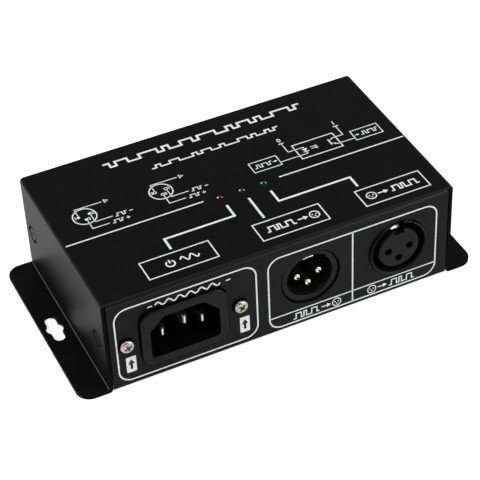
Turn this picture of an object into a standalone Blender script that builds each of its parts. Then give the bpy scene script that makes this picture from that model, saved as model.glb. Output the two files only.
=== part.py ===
"""A small stage-lighting signal amplifier: a folded sheet-steel case with a mains inlet, a data input socket
and a data output socket on its front, three lamps in its top, and its circuit board and wiring inside.

The origin is the middle of the case's underside. +Z is up, the sockets face -Y and +X is to their right.
All sizes are in metres.
"""

import math

import bmesh
import bpy
from mathutils import Vector

# Case
CASE_WIDTH = 0.126
CASE_DEPTH = 0.072
CASE_HEIGHT = 0.038
SHEET = 0.0012
BEND_INSIDE = 0.0002
SEAM = 0.0004
GAP = 0.0003
EAR_REACH = 0.010
EAR_CORNER = 0.005
KEYHOLE_EDGE = 0.0047
KEYHOLE_ENTRY = 0.0030
KEYHOLE_SLOT = 0.00195
KEYHOLE_LENGTH = 0.0132
TAB_WIDTH = 0.0066
TAB_RELIEF = 0.0005
TAB_ABOVE_SCREW = 0.0040
COLLAR_RADIUS = 0.0026
COLLAR_LENGTH = 0.0010

# Cover screws, countersunk
SIDE_SCREW_HEIGHT = 0.0181
SIDE_SCREW_FRONT = 0.0072
SIDE_SCREW_REAR = 0.0064
SIDE_SCREW_LENGTH = 0.0040
COUNTERSINK_ROOM = 0.0004
FLAT_HEAD_RADIUS = 0.0030
FLAT_HEAD_INSET = 0.0001

# Screws and nuts, metric 3
THREAD_RADIUS = 0.00145
PAN_HEAD_RADIUS = 0.0028
PAN_HEAD_HEIGHT = 0.0019
RECESS_WIDTH = 0.0008
RECESS_LENGTH = 0.0030
RECESS_DEPTH = 0.0010
NUT_FLATS = 0.0055
NUT_HEIGHT = 0.0024

# Mains inlet
INLET_SCREW_FROM_SIDE = 0.0071
INLET_HEIGHT = 0.0182
INLET_SCREW_PITCH = 0.040
INLET_SCREW_LENGTH = 0.008
INLET_RIM_WIDTH = 0.0302
INLET_RIM_HEIGHT = 0.0220
INLET_RIM_CORNER = 0.0042
INLET_RIM_PROUD = 0.0016
INLET_RIM_BEVEL = 0.0005
INLET_FLANGE_WIDTH = 0.0476
INLET_FLANGE_HEIGHT = 0.0226
INLET_FLANGE_THICKNESS = 0.0030
INLET_FLANGE_CORNER = 0.0045
INLET_BODY_WIDTH = 0.0275
INLET_BODY_HEIGHT = 0.0196
INLET_BODY_CORNER = 0.0015
INLET_CAVITY_WIDTH = 0.0242
INLET_CAVITY_HEIGHT = 0.0164
INLET_CAVITY_CHAMFER = 0.0051
INLET_CAVITY_CORNER = 0.0015
INLET_CAVITY_DEPTH = 0.0165
INLET_BACK_WALL = 0.0028
BLADE_SPACING = 0.014
BLADE_WIDTH = 0.0020
BLADE_HEIGHT = 0.0040
BLADE_BELOW = 0.0008
BLADE_TIP_DEPTH = 0.0025
BLADE_TIP_TAPER = 0.0007
EARTH_RAISE = 0.0040
EARTH_TIP_DEPTH = 0.0003
BLADE_TAB_LENGTH = 0.0080
BLADE_TAB_THICKNESS = 0.0008
BLADE_TAB_HEIGHT = 0.0048

# Data sockets
SOCKET_IN_X = 0.0099
SOCKET_OUT_X = 0.0424
SOCKET_BLOCK_WIDTH = 0.0244
SOCKET_BLOCK_HEIGHT = 0.0250
SOCKET_BLOCK_DEPTH = 0.0190
SOCKET_BLOCK_CORNER = 0.0025
SOCKET_IN_NOSE_RADIUS = 0.01055
SOCKET_IN_RECESS = 0.0006
SOCKET_IN_BORE_RADIUS = 0.00825
SOCKET_IN_CARRIER_DEPTH = 0.0060
SOCKET_IN_PIN_DEPTH = 0.00105
SOCKET_EDGE = 0.0004
KEY_SLOT_ANGLE = 27.0
KEY_SLOT_WIDTH = 0.0046
KEY_SLOT_REACH = 0.0088
KEY_SLOT_DEPTH = 0.009
KEY_RIB_ANGLE = 148.0
KEY_RIB_WIDTH = 0.0030
KEY_RIB_REACH = 0.0078
SOCKET_OUT_NOSE_RADIUS = 0.0106
SOCKET_OUT_PROUD = 0.0012
SOCKET_OUT_BORE_RADIUS = 0.0099
SOCKET_OUT_CARRIER_RADIUS = 0.00763
SOCKET_OUT_CARRIER_RECESS = 0.0002
RIM_WINDOW_WIDTH = 0.0110
RIM_WINDOW_LOW = 0.0082
CONTACT_SPREAD = 0.0040
CONTACT_ABOVE = -0.0002
CONTACT_BELOW = 0.0040
PIN_RADIUS = 0.0012
CONTACT_RADIUS = 0.00145
CONTACT_BORE_RADIUS = 0.0011
CONTACT_BORE_DEPTH = 0.009
CONTACT_MOUTH_RADIUS = 0.0014
CONTACT_MOUTH_DEPTH = 0.0030
TAIL_RADIUS = 0.0004
TAIL_BEHIND_BLOCK = 0.0018
TAIL_BEND = 0.0008
TAIL_BELOW_BOARD = 0.0010

# Output socket's spring latch
LATCH_WIDTH = 0.0031
LATCH_THICKNESS = 0.0005
LATCH_REACH = 0.0114
LATCH_RADIUS = 0.0094
LATCH_NOSE_LENGTH = 0.0046
LATCH_NOSE_DROP = 0.0031
LATCH_LIP = 0.0013
LATCH_TIP_DEPTH = 0.0019
LATCH_ROOT_RADIUS = 0.0005
LATCH_LIFT = 0.0031
LATCH_SIDE_ROOM = 0.0004

# Circuit board
BOARD_THICKNESS = 0.0016
BOARD_SIDE_MARGIN = 0.0048
BOARD_END_MARGIN = 0.0018
BOARD_BAY_X = -0.009
BOARD_BAY_ROOM = 0.0025
STANDOFF_HEIGHT = 0.0040
STANDOFF_RADIUS = 0.0030
SPIGOT_RADIUS = 0.0024
STANDOFF_EDGE = 0.0050
BOARD_SCREW_LENGTH = 0.0055

# Lamps
LAMP_PITCH = 0.00805
LAMP_X = 0.0004
LAMP_Y = -0.0051
LAMP_RADIUS = 0.00145
LAMP_LENGTH = 0.0053
LAMP_FLANGE_RADIUS = 0.0019
LAMP_FLANGE_HEIGHT = 0.0010
LAMP_BELOW_TOP = 0.0001
LEAD_RADIUS = 0.00025
LEAD_PITCH = 0.00254
SPACER_RADIUS = 0.0026

# Wires
WIRE_RADIUS = 0.0009
STUD_X = -0.0150
STUD_FROM_FRONT = 0.0120
STUD_RADIUS = 0.0019
STUD_HEIGHT = 0.0100
STUD_BASE_RADIUS = 0.0034
STUD_BASE_HEIGHT = 0.0008
STUD_NUT_FLATS = 0.0070
STUD_NUT_HEIGHT = 0.0032
RING_RADIUS = 0.0038
RING_THICKNESS = 0.0008
RING_TONGUE = 0.0048
RING_BARREL_LENGTH = 0.0045
RING_BARREL_RADIUS = 0.0016
RECEPTACLE_WALL = 0.0008
RECEPTACLE_GRIP = 0.0062
RECEPTACLE_TAIL = 0.0034
WIRE_STRAIGHT = 0.0020
CRIMP_LEAD = 0.0014
CRIMP_RISE = 0.0004
LINE_ROUTE = [(-0.0009, 0.0077, -0.0010), (-0.0061, 0.0117, -0.0046)]
NEUTRAL_ROUTE = [(-0.0013, 0.0073, -0.0003), (-0.0071, 0.0103, -0.0014), (-0.0141, 0.0127, -0.0042)]
EARTH_ROUTE = [
    (0.0014, 0.0087, 0.0002),
    (0.0059, 0.0107, -0.0004),
    (0.0124, 0.0095, -0.0027),
    (0.0184, 0.0071, -0.0057),
    (0.0213, 0.0039, -0.0098),
    (0.0215, 0.0007, -0.0140),
]

# Parts on the board, each placed from the edge or the socket that it belongs to
TERMINAL_PITCH = 0.0050
TERMINAL_WALL = 0.0005
TERMINAL_DEPTH = 0.0080
TERMINAL_HEIGHT = 0.0100
TERMINAL_FROM_SIDE = 0.0065
TERMINAL_FROM_BAY = 0.0198
TERMINAL_ENTRY_RAISE = 0.0042
TERMINAL_ENTRY_DEPTH = 0.0040
FUSE_LENGTH = 0.020
FUSE_RADIUS = 0.0026
FUSE_CAP_LENGTH = 0.0050
FUSE_CAP_STEP = 0.0002
FUSE_END_ROOM = 0.0020
FUSE_CRADLE_LENGTH = 0.0050
FUSE_CRADLE_WALL = 0.0009
FUSE_CRADLE_WRAP = 0.0012
FUSE_HOLDER_BASE = 0.0016
FUSE_HEIGHT = 0.0049
FUSE_FROM_BAY_SIDE = 0.0210
FUSE_FROM_BAY = 0.0054
CONVERTER_SIZE = (0.034, 0.020, 0.015)
CONVERTER_FROM_TERMINAL = 0.0255
CONVERTER_BACK = 0.0130
CAPACITOR_X = 0.0
CAPACITOR_RADIUS = 0.0040
CAPACITOR_HEIGHT = 0.0120
CAPACITOR_BACKS = (0.0100, 0.0205)
REGULATOR_X = 0.0105
REGULATOR_SIZE = (0.0066, 0.0060, 0.0023)
REGULATOR_PITCH = 0.0023
REGULATOR_BACK = 0.0090
ISOLATED_X = 0.0320
ISOLATED_SIZE = (0.0195, 0.0060, 0.0100)
ISOLATED_BACK = 0.0110
TRANSCEIVER_SIZE = (0.0098, 0.0064, 0.0033)
TRANSCEIVER_BACK = 0.0097
OPTOCOUPLER_SIZE = (0.0085, 0.0064, 0.0035)
OPTOCOUPLER_BACK = 0.0205
CHIP_SHIFT = 0.0120
CHIP_PITCH = 0.00254
CHIP_STANDOFF = 0.0003
CHIP_CORNER = 0.0003
LEG_REACH = 0.0018
LEG_FOOT = 0.0008
LEG_WIDTH = 0.0008
LEG_THICKNESS = 0.0003

# Places that follow from the sizes above
FRONT = -CASE_DEPTH / 2
REAR = CASE_DEPTH / 2
PANEL_INSIDE = FRONT + SHEET
BEND_OUTSIDE = BEND_INSIDE + SHEET
BASE_HALF_WIDTH = CASE_WIDTH / 2 - SHEET - SEAM
BASE_HEIGHT = CASE_HEIGHT - SHEET - SEAM
TAB_INSIDE = BASE_HALF_WIDTH - SHEET
COUNTERSINK_RADIUS = FLAT_HEAD_RADIUS + FLAT_HEAD_INSET + COUNTERSINK_ROOM
SHANK_HOLE_RADIUS = THREAD_RADIUS + GAP
INLET_X = -CASE_WIDTH / 2 + INLET_SCREW_FROM_SIDE + INLET_SCREW_PITCH / 2
FLANGE_FRONT = PANEL_INSIDE + GAP
FLANGE_BACK = FLANGE_FRONT + INLET_FLANGE_THICKNESS
RIM_FACE = FRONT - INLET_RIM_PROUD
CAVITY_END = RIM_FACE + INLET_CAVITY_DEPTH
INLET_BACK = CAVITY_END + INLET_BACK_WALL
BLADE_END = INLET_BACK + BLADE_TAB_LENGTH
BOARD_UNDERSIDE = SHEET + STANDOFF_HEIGHT
BOARD_TOP = BOARD_UNDERSIDE + BOARD_THICKNESS
BOARD_HALF_WIDTH = CASE_WIDTH / 2 - SHEET - BOARD_SIDE_MARGIN
BOARD_FRONT = PANEL_INSIDE + BOARD_END_MARGIN
BOARD_REAR = REAR - SHEET - BOARD_END_MARGIN
BOARD_BAY_Y = BLADE_END + BOARD_BAY_ROOM
ON_BOARD = BOARD_TOP + GAP
SOCKET_HEIGHT = ON_BOARD + SOCKET_BLOCK_HEIGHT / 2
SOCKET_BLOCK_FRONT = PANEL_INSIDE + GAP
SOCKET_BLOCK_BACK = SOCKET_BLOCK_FRONT + SOCKET_BLOCK_DEPTH
SOCKET_IN_FACE = FRONT + SOCKET_IN_RECESS
SOCKET_OUT_FACE = FRONT - SOCKET_OUT_PROUD
TAIL_Y = SOCKET_BLOCK_BACK + TAIL_BEHIND_BLOCK
TAIL_END = BOARD_UNDERSIDE - TAIL_BELOW_BOARD
LATCH_TIP = FRONT + LATCH_TIP_DEPTH
LATCH_HINGE_Y = LATCH_TIP + LATCH_REACH
LATCH_LEAF_LOW = SOCKET_HEIGHT + LATCH_RADIUS
LATCH_HINGE_Z = LATCH_LEAF_LOW + LATCH_THICKNESS / 2
LATCH_SEAT_Y = LATCH_HINGE_Y + LATCH_ROOT_RADIUS + GAP
LATCH_KNEE_LIFT = LATCH_LIFT * (LATCH_REACH - LATCH_NOSE_LENGTH) / LATCH_REACH
LATCH_SLOT_TOP = LATCH_LEAF_LOW + LATCH_THICKNESS + LATCH_KNEE_LIFT + GAP
LAMP_TOP = CASE_HEIGHT - LAMP_BELOW_TOP
LAMP_BASE = LAMP_TOP - LAMP_LENGTH
LAMP_HOLE_RADIUS = LAMP_RADIUS + GAP
STUD_Y = FRONT + STUD_FROM_FRONT
RING_LOW = SHEET + GAP + STUD_BASE_HEIGHT + GAP
TERMINAL_X = -BOARD_HALF_WIDTH + TERMINAL_FROM_SIDE
TERMINAL_Y = BOARD_BAY_Y + TERMINAL_FROM_BAY
TERMINAL_ENTRY_HEIGHT = ON_BOARD + TERMINAL_ENTRY_RAISE
FUSE_X = BOARD_BAY_X - FUSE_FROM_BAY_SIDE
FUSE_Y = BOARD_BAY_Y + FUSE_FROM_BAY
CONVERTER_X = TERMINAL_X + CONVERTER_FROM_TERMINAL
BLADES = [
    ("line", -BLADE_SPACING / 2, -BLADE_BELOW, BLADE_TIP_DEPTH),
    ("neutral", BLADE_SPACING / 2, -BLADE_BELOW, BLADE_TIP_DEPTH),
    ("earth", 0.0, EARTH_RAISE - BLADE_BELOW, EARTH_TIP_DEPTH),
]
CONTACTS = [(-CONTACT_SPREAD, CONTACT_ABOVE), (CONTACT_SPREAD, CONTACT_ABOVE), (0.0, -CONTACT_BELOW)]
LAMPS = [("power_lamp", LAMP_X - LAMP_PITCH), ("input_lamp", LAMP_X), ("output_lamp", LAMP_X + LAMP_PITCH)]
SIDE_SCREW_YS = {"front": FRONT + SIDE_SCREW_FRONT, "rear": REAR - SIDE_SCREW_REAR}
STANDOFFS = [
    (STANDOFF_EDGE - BOARD_HALF_WIDTH, BOARD_BAY_Y + STANDOFF_EDGE),
    (STANDOFF_EDGE - BOARD_HALF_WIDTH, BOARD_REAR - STANDOFF_EDGE),
    (BOARD_HALF_WIDTH - STANDOFF_EDGE, BOARD_REAR - STANDOFF_EDGE),
    ((SOCKET_IN_X + SOCKET_OUT_X) / 2, BOARD_FRONT + STANDOFF_EDGE),
]

# Cutters pass this far beyond the faces that they cut
THROUGH = 0.002
# Joined solids reach this far into each other
EXTRA = 0.001
# Pieces through the floor end this far above its underside
FLUSH = 0.0002
# Facets of large and of small round pieces
LARGE = 36
SMALL = 12


# Materials

FINISHES = {
    "black_powder_coat": ((0.017, 0.017, 0.018), 0.45, 0.0),
    "black_plastic": ((0.020, 0.020, 0.021), 0.40, 0.0),
    "bright_steel": ((0.62, 0.61, 0.58), 0.28, 1.0),
    "black_screw": ((0.015, 0.015, 0.016), 0.35, 0.6),
    "gold_plate": ((0.80, 0.60, 0.30), 0.25, 1.0),
    "spring_steel": ((0.75, 0.74, 0.70), 0.20, 1.0),
    "board_green": ((0.02, 0.16, 0.06), 0.40, 0.0),
    "nylon_white": ((0.78, 0.77, 0.72), 0.50, 0.0),
    "chip_black": ((0.030, 0.030, 0.032), 0.55, 0.0),
    "terminal_green": ((0.05, 0.35, 0.12), 0.45, 0.0),
    "capacitor_blue": ((0.04, 0.07, 0.20), 0.35, 0.0),
    "fuse_glass": ((0.75, 0.80, 0.80), 0.15, 0.0),
    "red_lens": ((0.22, 0.01, 0.02), 0.12, 0.0),
    "green_lens": ((0.01, 0.12, 0.07), 0.12, 0.0),
    "wire_brown": ((0.20, 0.08, 0.03), 0.45, 0.0),
    "wire_blue": ((0.03, 0.12, 0.45), 0.45, 0.0),
    "wire_green": ((0.10, 0.42, 0.06), 0.45, 0.0),
}


def finish(name):
    """The named material, made at its first use."""
    material = bpy.data.materials.get(name)
    if material is None:
        colour, roughness, metallic = FINISHES[name]
        material = bpy.data.materials.new(name)
        material.use_nodes = True
        shader = material.node_tree.nodes["Principled BSDF"]
        shader.inputs["Base Color"].default_value = (*colour, 1.0)
        shader.inputs["Roughness"].default_value = roughness
        shader.inputs["Metallic"].default_value = metallic
        material.diffuse_color = (*colour, 1.0)
    return material


# Outlines, as lists of (u, v) points


def arc(centre, radius, start, end, steps):
    """Points on an arc, both ends included; angles in degrees."""
    points = []
    for step in range(steps + 1):
        angle = math.radians(start + (end - start) * step / steps)
        points.append((centre[0] + radius * math.cos(angle), centre[1] + radius * math.sin(angle)))
    return points


def circle(radius, steps, centre=(0.0, 0.0)):
    return arc(centre, radius, 0, 360 - 360 / steps, steps - 1)


def rectangle(width, height, corner=0.0, centre=(0.0, 0.0), steps=5):
    """A rectangle about its centre, with rounded corners where corner is given."""
    u, v = width / 2 - corner, height / 2 - corner
    points = []
    for quarter, (side_u, side_v) in enumerate([(u, v), (-u, v), (-u, -v), (u, -v)]):
        middle = (centre[0] + side_u, centre[1] + side_v)
        if corner:
            points += arc(middle, corner, 90 * quarter, 90 * quarter + 90, steps)
        else:
            points.append(middle)
    return points


def hexagon(flats):
    return circle(flats / math.sqrt(3), 6)


def rounded_path(corners, radii, steps=5):
    """A line through the corners, with an arc of its own radius at each corner between the two ends."""
    points = [corners[0]]
    for before, corner, after, radius in zip(corners, corners[1:], corners[2:], radii):
        to_before = unit(before, corner)
        to_after = unit(after, corner)
        turn = math.acos(to_before[0] * to_after[0] + to_before[1] * to_after[1])
        run = radius / math.tan(turn / 2)
        middle_way = unit((to_before[0] + to_after[0], to_before[1] + to_after[1]), (0.0, 0.0))
        out = radius / math.sin(turn / 2)
        centre = (corner[0] + middle_way[0] * out, corner[1] + middle_way[1] * out)
        first = (corner[0] + to_before[0] * run, corner[1] + to_before[1] * run)
        last = (corner[0] + to_after[0] * run, corner[1] + to_after[1] * run)
        start = math.degrees(math.atan2(first[1] - centre[1], first[0] - centre[0]))
        end = math.degrees(math.atan2(last[1] - centre[1], last[0] - centre[0]))
        if end - start > 180:
            end -= 360
        if start - end > 180:
            end += 360
        points += arc(centre, radius, start, end, steps)
    return points + [corners[-1]]


def unit(point, origin):
    """The direction from origin to point, one long."""
    u, v = point[0] - origin[0], point[1] - origin[1]
    length = math.hypot(u, v)
    return (u / length, v / length)


# Solids

# Where an outline's u and v and the distance w along the axis go in space
SPACE = {
    "x": lambda u, v, w: (w, u, v),
    "y": lambda u, v, w: (u, w, v),
    "z": lambda u, v, w: (u, v, w),
}


def add_object(name, shape, material, place=(0.0, 0.0, 0.0), parent=None, rotation=(0.0, 0.0, 0.0)):
    """An object from a bmesh, its faces turned outwards and its round sides smooth."""
    bmesh.ops.recalc_face_normals(shape, faces=shape.faces)
    mesh = bpy.data.meshes.new(name)
    shape.to_mesh(mesh)
    shape.free()
    if material:
        mesh.materials.append(finish(material))
    item = bpy.data.objects.new(name, mesh)
    item.location = place
    item.rotation_euler = rotation
    item.parent = parent
    bpy.context.collection.objects.link(item)
    smooth(item)
    return item


def smooth(item):
    item.data.shade_smooth()
    item.data.set_sharp_from_angle(angle=math.radians(32))


def stack(sections, axis, shape=None):
    """A solid through outlines at rising distances along an axis; each section is (outline, distance)."""
    shape = shape or bmesh.new()
    rings = []
    for outline, distance in sections:
        rings.append([shape.verts.new(SPACE[axis](u, v, distance)) for u, v in outline])
    shape.faces.new(rings[0])
    shape.faces.new(rings[-1])
    for low, high in zip(rings, rings[1:]):
        for index in range(len(low)):
            following = (index + 1) % len(low)
            shape.faces.new((low[index], low[following], high[following], high[index]))
    return shape


def prism(outline, low, high, axis, shape=None):
    return stack([(outline, low), (outline, high)], axis, shape)


def box(low, high):
    outline = [(low[0], low[1]), (high[0], low[1]), (high[0], high[1]), (low[0], high[1])]
    return prism(outline, low[2], high[2], "z")


def turned(profile, axis, steps):
    """A solid of revolution about an axis. The profile's (radius, distance) points start and end on the
    axis, where the radius is 0, or form a closed loop that stays clear of it."""
    shape = bmesh.new()
    rings = []
    for radius, distance in profile:
        if radius:
            rings.append([shape.verts.new(SPACE[axis](u, v, distance)) for u, v in circle(radius, steps)])
        else:
            rings.append([shape.verts.new(SPACE[axis](0.0, 0.0, distance))] * steps)
    pairs = list(zip(rings, rings[1:]))
    if profile[0][0]:
        pairs.append((rings[-1], rings[0]))
    for low, high in pairs:
        for index in range(steps):
            following = (index + 1) % steps
            corners = [low[index], low[following], high[following], high[index]]
            shape.faces.new(list(dict.fromkeys(corners)))
    return shape


def cylinder(radius, low, high, axis, steps):
    return prism(circle(radius, steps), low, high, axis)


def combine(target, shape, operation):
    """Joins a shape to the target or cuts it away; the shape lies in the target's own space."""
    tool = add_object("tool", shape, None, parent=target)
    modifier = target.modifiers.new("combine", "BOOLEAN")
    modifier.operation = operation
    modifier.solver = "EXACT"
    modifier.object = tool
    apply_modifiers(target)
    bpy.data.objects.remove(tool, do_unlink=True)


def cut(target, shape):
    combine(target, shape, "DIFFERENCE")


def join(target, shape):
    combine(target, shape, "UNION")


def apply_modifiers(item):
    bpy.context.view_layer.update()
    seen = item.evaluated_get(bpy.context.evaluated_depsgraph_get())
    mesh = bpy.data.meshes.new_from_object(seen)
    item.modifiers.clear()
    item.data = mesh
    smooth(item)


# Screws, nuts and tubes, each made about its own axis


def pan_head_screw(length):
    """A cross-head screw along Z, its head's underside at 0."""
    shoulder = [(1.0, 0.0), (1.0, 0.45), (0.86, 0.82), (0.5, 1.0)]
    head = [(PAN_HEAD_RADIUS * u, PAN_HEAD_HEIGHT * v) for u, v in shoulder]
    profile = [(0.0, -length), (THREAD_RADIUS, -length), (THREAD_RADIUS, 0.0), *head, (0.0, PAN_HEAD_HEIGHT)]
    return turned(profile, "z", SMALL), PAN_HEAD_HEIGHT


def flat_head_screw(length):
    """A countersunk cross-head screw along Z, its head's top at 0."""
    cone = FLAT_HEAD_RADIUS - THREAD_RADIUS
    profile = [(0.0, -length), (THREAD_RADIUS, -length), (THREAD_RADIUS, -cone)]
    profile += [(FLAT_HEAD_RADIUS, 0.0), (0.0, 0.0)]
    return turned(profile, "z", SMALL), 0.0


def add_screws(shape_and_top, material, places, rotation=(0.0, 0.0, 0.0), parent=None):
    """Screws of one kind, one for each name and place. They share the first one's mesh and cross recess."""
    shape, top = shape_and_top
    first = None
    for name, place in places:
        if first is None:
            first = add_object(name, shape, material, place, parent, rotation)
            for width, length in ((RECESS_WIDTH, RECESS_LENGTH), (RECESS_LENGTH, RECESS_WIDTH)):
                low = (-width / 2, -length / 2, top - RECESS_DEPTH)
                high = (width / 2, length / 2, top + THROUGH)
                cut(first, box(low, high))
        else:
            share_mesh(first, name, place, rotation, parent)


def share_mesh(original, name, place, rotation=(0.0, 0.0, 0.0), parent=None):
    item = bpy.data.objects.new(name, original.data)
    item.location = place
    item.rotation_euler = rotation
    item.parent = parent
    bpy.context.collection.objects.link(item)
    return item


def nut(flats, height, bore):
    """A hexagon nut along Z from 0, two flats facing along X."""
    turn = math.radians(30)
    outline = []
    for u, v in hexagon(flats):
        outline.append((u * math.cos(turn) - v * math.sin(turn), u * math.sin(turn) + v * math.cos(turn)))
    shape = prism(outline, 0.0, height, "z")
    return shape, cylinder(bore, -THROUGH, height + THROUGH, "z", SMALL)


def smooth_route(points, steps=3):
    """A smooth curve through the points (Catmull-Rom)."""
    ends = [points[0] * 2 - points[1], *points, points[-1] * 2 - points[-2]]
    route = []
    for a, b, c, d in zip(ends, ends[1:], ends[2:], ends[3:]):
        for step in range(steps):
            t = step / steps
            rise = c - a
            bend = a * 2 - b * 5 + c * 4 - d
            twist = b * 3 - a - c * 3 + d
            route.append(b + (rise * t + bend * t**2 + twist * t**3) / 2)
    return route + [points[-1]]


def tube(route, radius, sides=8):
    """A closed round tube along the route, whose cross-sections don't twist."""
    shape = bmesh.new()
    rings = []
    across = Vector((1.0, 0.0, 0.0))
    for index, point in enumerate(route):
        before = route[max(index - 1, 0)]
        after = route[min(index + 1, len(route) - 1)]
        along = (after - before).normalized()
        across = (across - along * across.dot(along)).normalized()
        upwards = along.cross(across)
        ring = []
        for u, v in circle(radius, sides):
            ring.append(shape.verts.new(point + across * u + upwards * v))
        rings.append(ring)
    shape.faces.new(rings[0])
    shape.faces.new(rings[-1])
    for low, high in zip(rings, rings[1:]):
        for index in range(sides):
            following = (index + 1) % sides
            shape.faces.new((low[index], low[following], high[following], high[index]))
    return shape


# Case


def keyhole(centre_x):
    """Outline of an ear's mounting hole: a round entry for a screw head with a slot on both sides of it."""
    flare = math.degrees(math.acos(KEYHOLE_SLOT / KEYHOLE_ENTRY))
    slot_end = KEYHOLE_LENGTH / 2 - KEYHOLE_SLOT
    centre = (centre_x, 0.0)
    outline = arc(centre, KEYHOLE_ENTRY, -flare, flare, 6)
    outline += arc((centre_x, slot_end), KEYHOLE_SLOT, 0, 180, 8)
    outline += arc(centre, KEYHOLE_ENTRY, 180 - flare, 180 + flare, 6)
    outline += arc((centre_x, -slot_end), KEYHOLE_SLOT, 180, 360, 8)
    return outline


def ear_corner(side, end):
    """What is cut off an ear's corner to round it."""
    tip = CASE_WIDTH / 2 + EAR_REACH
    centre_x, centre_y = tip - EAR_CORNER, CASE_DEPTH / 2 - EAR_CORNER
    outline = arc((centre_x, centre_y), EAR_CORNER, 0, 90, 8)
    outline += [(centre_x, CASE_DEPTH / 2 + THROUGH), (tip + THROUGH, CASE_DEPTH / 2 + THROUGH)]
    outline += [(tip + THROUGH, centre_y)]
    return [(side * x, end * y) for x, y in outline]


def build_cover():
    half = CASE_WIDTH / 2
    tip = half + EAR_REACH
    outside = [(-tip, SHEET), (-half, SHEET), (-half, CASE_HEIGHT)]
    outside += [(half, CASE_HEIGHT), (half, SHEET), (tip, SHEET)]
    wall, roof = half - SHEET, CASE_HEIGHT - SHEET
    inside = [(-tip, 0.0), (-wall, 0.0), (-wall, roof), (wall, roof), (wall, 0.0), (tip, 0.0)]
    outer_face = rounded_path(outside, [BEND_INSIDE, BEND_OUTSIDE, BEND_OUTSIDE, BEND_INSIDE])
    inner_face = rounded_path(inside, [BEND_OUTSIDE, BEND_INSIDE, BEND_INSIDE, BEND_OUTSIDE])
    profile = outer_face + inner_face[::-1]
    cover = add_object("cover", prism(profile, FRONT, REAR, "y"), "black_powder_coat")
    for side in (-1, 1):
        corners = bmesh.new()
        for end in (-1, 1):
            prism(ear_corner(side, end), -THROUGH, SHEET + THROUGH, "z", corners)
        cut(cover, corners)
        cut(cover, prism(keyhole(side * (tip - KEYHOLE_EDGE)), -THROUGH, SHEET + THROUGH, "z"))
        for screw_y in SIDE_SCREW_YS.values():
            centre = (screw_y, SIDE_SCREW_HEIGHT)
            mouth = circle(COUNTERSINK_RADIUS + EXTRA, SMALL, centre)
            throat = circle(COUNTERSINK_RADIUS - SHEET - EXTRA, SMALL, centre)
            cut(cover, stack([(throat, side * (wall - EXTRA)), (mouth, side * (half + EXTRA))], "x"))
    lamp_holes = bmesh.new()
    for _, lamp_x in LAMPS:
        hole = circle(LAMP_HOLE_RADIUS, SMALL, (lamp_x, LAMP_Y))
        prism(hole, roof - THROUGH, CASE_HEIGHT + THROUGH, "z", lamp_holes)
    cut(cover, lamp_holes)


def side_tab(side, screw_y):
    """A strip folded up from the floor's edge, which a cover screw goes into."""
    root = BASE_HALF_WIDTH - BEND_OUTSIDE - EXTRA
    top = SIDE_SCREW_HEIGHT + TAB_ABOVE_SCREW
    outside = rounded_path([(root, 0.0), (BASE_HALF_WIDTH, 0.0), (BASE_HALF_WIDTH, top)], [BEND_OUTSIDE])
    inside = rounded_path([(root, SHEET), (TAB_INSIDE, SHEET), (TAB_INSIDE, top)], [BEND_INSIDE])
    outline = [(side * x, z) for x, z in outside + inside[::-1]]
    return prism(outline, screw_y - TAB_WIDTH / 2, screw_y + TAB_WIDTH / 2, "y")


def build_base():
    outside = [(FRONT, BASE_HEIGHT), (FRONT, 0.0), (REAR, 0.0), (REAR, BASE_HEIGHT)]
    inner_front, inner_rear = FRONT + SHEET, REAR - SHEET
    inside = [(inner_front, BASE_HEIGHT), (inner_front, SHEET)]
    inside += [(inner_rear, SHEET), (inner_rear, BASE_HEIGHT)]
    outer_face = rounded_path(outside, [BEND_OUTSIDE, BEND_OUTSIDE])
    inner_face = rounded_path(inside, [BEND_INSIDE, BEND_INSIDE])
    profile = outer_face + inner_face[::-1]
    base = add_object("base", prism(profile, -BASE_HALF_WIDTH, BASE_HALF_WIDTH, "x"), "black_powder_coat")
    for side in (-1, 1):
        for screw_y in SIDE_SCREW_YS.values():
            edges = sorted([side * (BASE_HALF_WIDTH - BEND_OUTSIDE), side * (BASE_HALF_WIDTH + THROUGH)])
            reach = TAB_WIDTH / 2 + TAB_RELIEF
            relief = box((edges[0], screw_y - reach, -THROUGH), (edges[1], screw_y + reach, SHEET + THROUGH))
            cut(base, relief)
            join(base, side_tab(side, screw_y))
            centre = (screw_y, SIDE_SCREW_HEIGHT)
            collar_end = TAB_INSIDE - COLLAR_LENGTH
            collar = circle(COLLAR_RADIUS, SMALL, centre)
            join(base, prism(collar, side * collar_end, side * (TAB_INSIDE + SHEET / 2), "x"))
            bore = circle(SHANK_HOLE_RADIUS, SMALL, centre)
            cut(base, prism(bore, side * (collar_end - THROUGH), side * (BASE_HALF_WIDTH + THROUGH), "x"))
    cut_front_panel(base)
    floor_holes = bmesh.new()
    for place in STANDOFFS:
        prism(circle(SPIGOT_RADIUS + GAP, SMALL, place), -THROUGH, SHEET + THROUGH, "z", floor_holes)
    prism(circle(STUD_RADIUS + GAP, SMALL, (STUD_X, STUD_Y)), -THROUGH, SHEET + THROUGH, "z", floor_holes)
    cut(base, floor_holes)


def cut_front_panel(base):
    """Openings for the inlet, its screws and the two sockets."""
    openings = bmesh.new()
    depth = (FRONT - THROUGH, PANEL_INSIDE + THROUGH)
    width, height = INLET_RIM_WIDTH + 2 * GAP, INLET_RIM_HEIGHT + 2 * GAP
    inlet = rectangle(width, height, INLET_RIM_CORNER + GAP, (INLET_X, INLET_HEIGHT))
    prism(inlet, *depth, "y", openings)
    for side in (-1, 1):
        screw = (INLET_X + side * INLET_SCREW_PITCH / 2, INLET_HEIGHT)
        prism(circle(SHANK_HOLE_RADIUS, SMALL, screw), *depth, "y", openings)
    for socket_x, nose in ((SOCKET_IN_X, SOCKET_IN_NOSE_RADIUS), (SOCKET_OUT_X, SOCKET_OUT_NOSE_RADIUS)):
        prism(circle(nose + GAP, LARGE, (socket_x, SOCKET_HEIGHT)), *depth, "y", openings)
    cut(base, openings)


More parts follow.
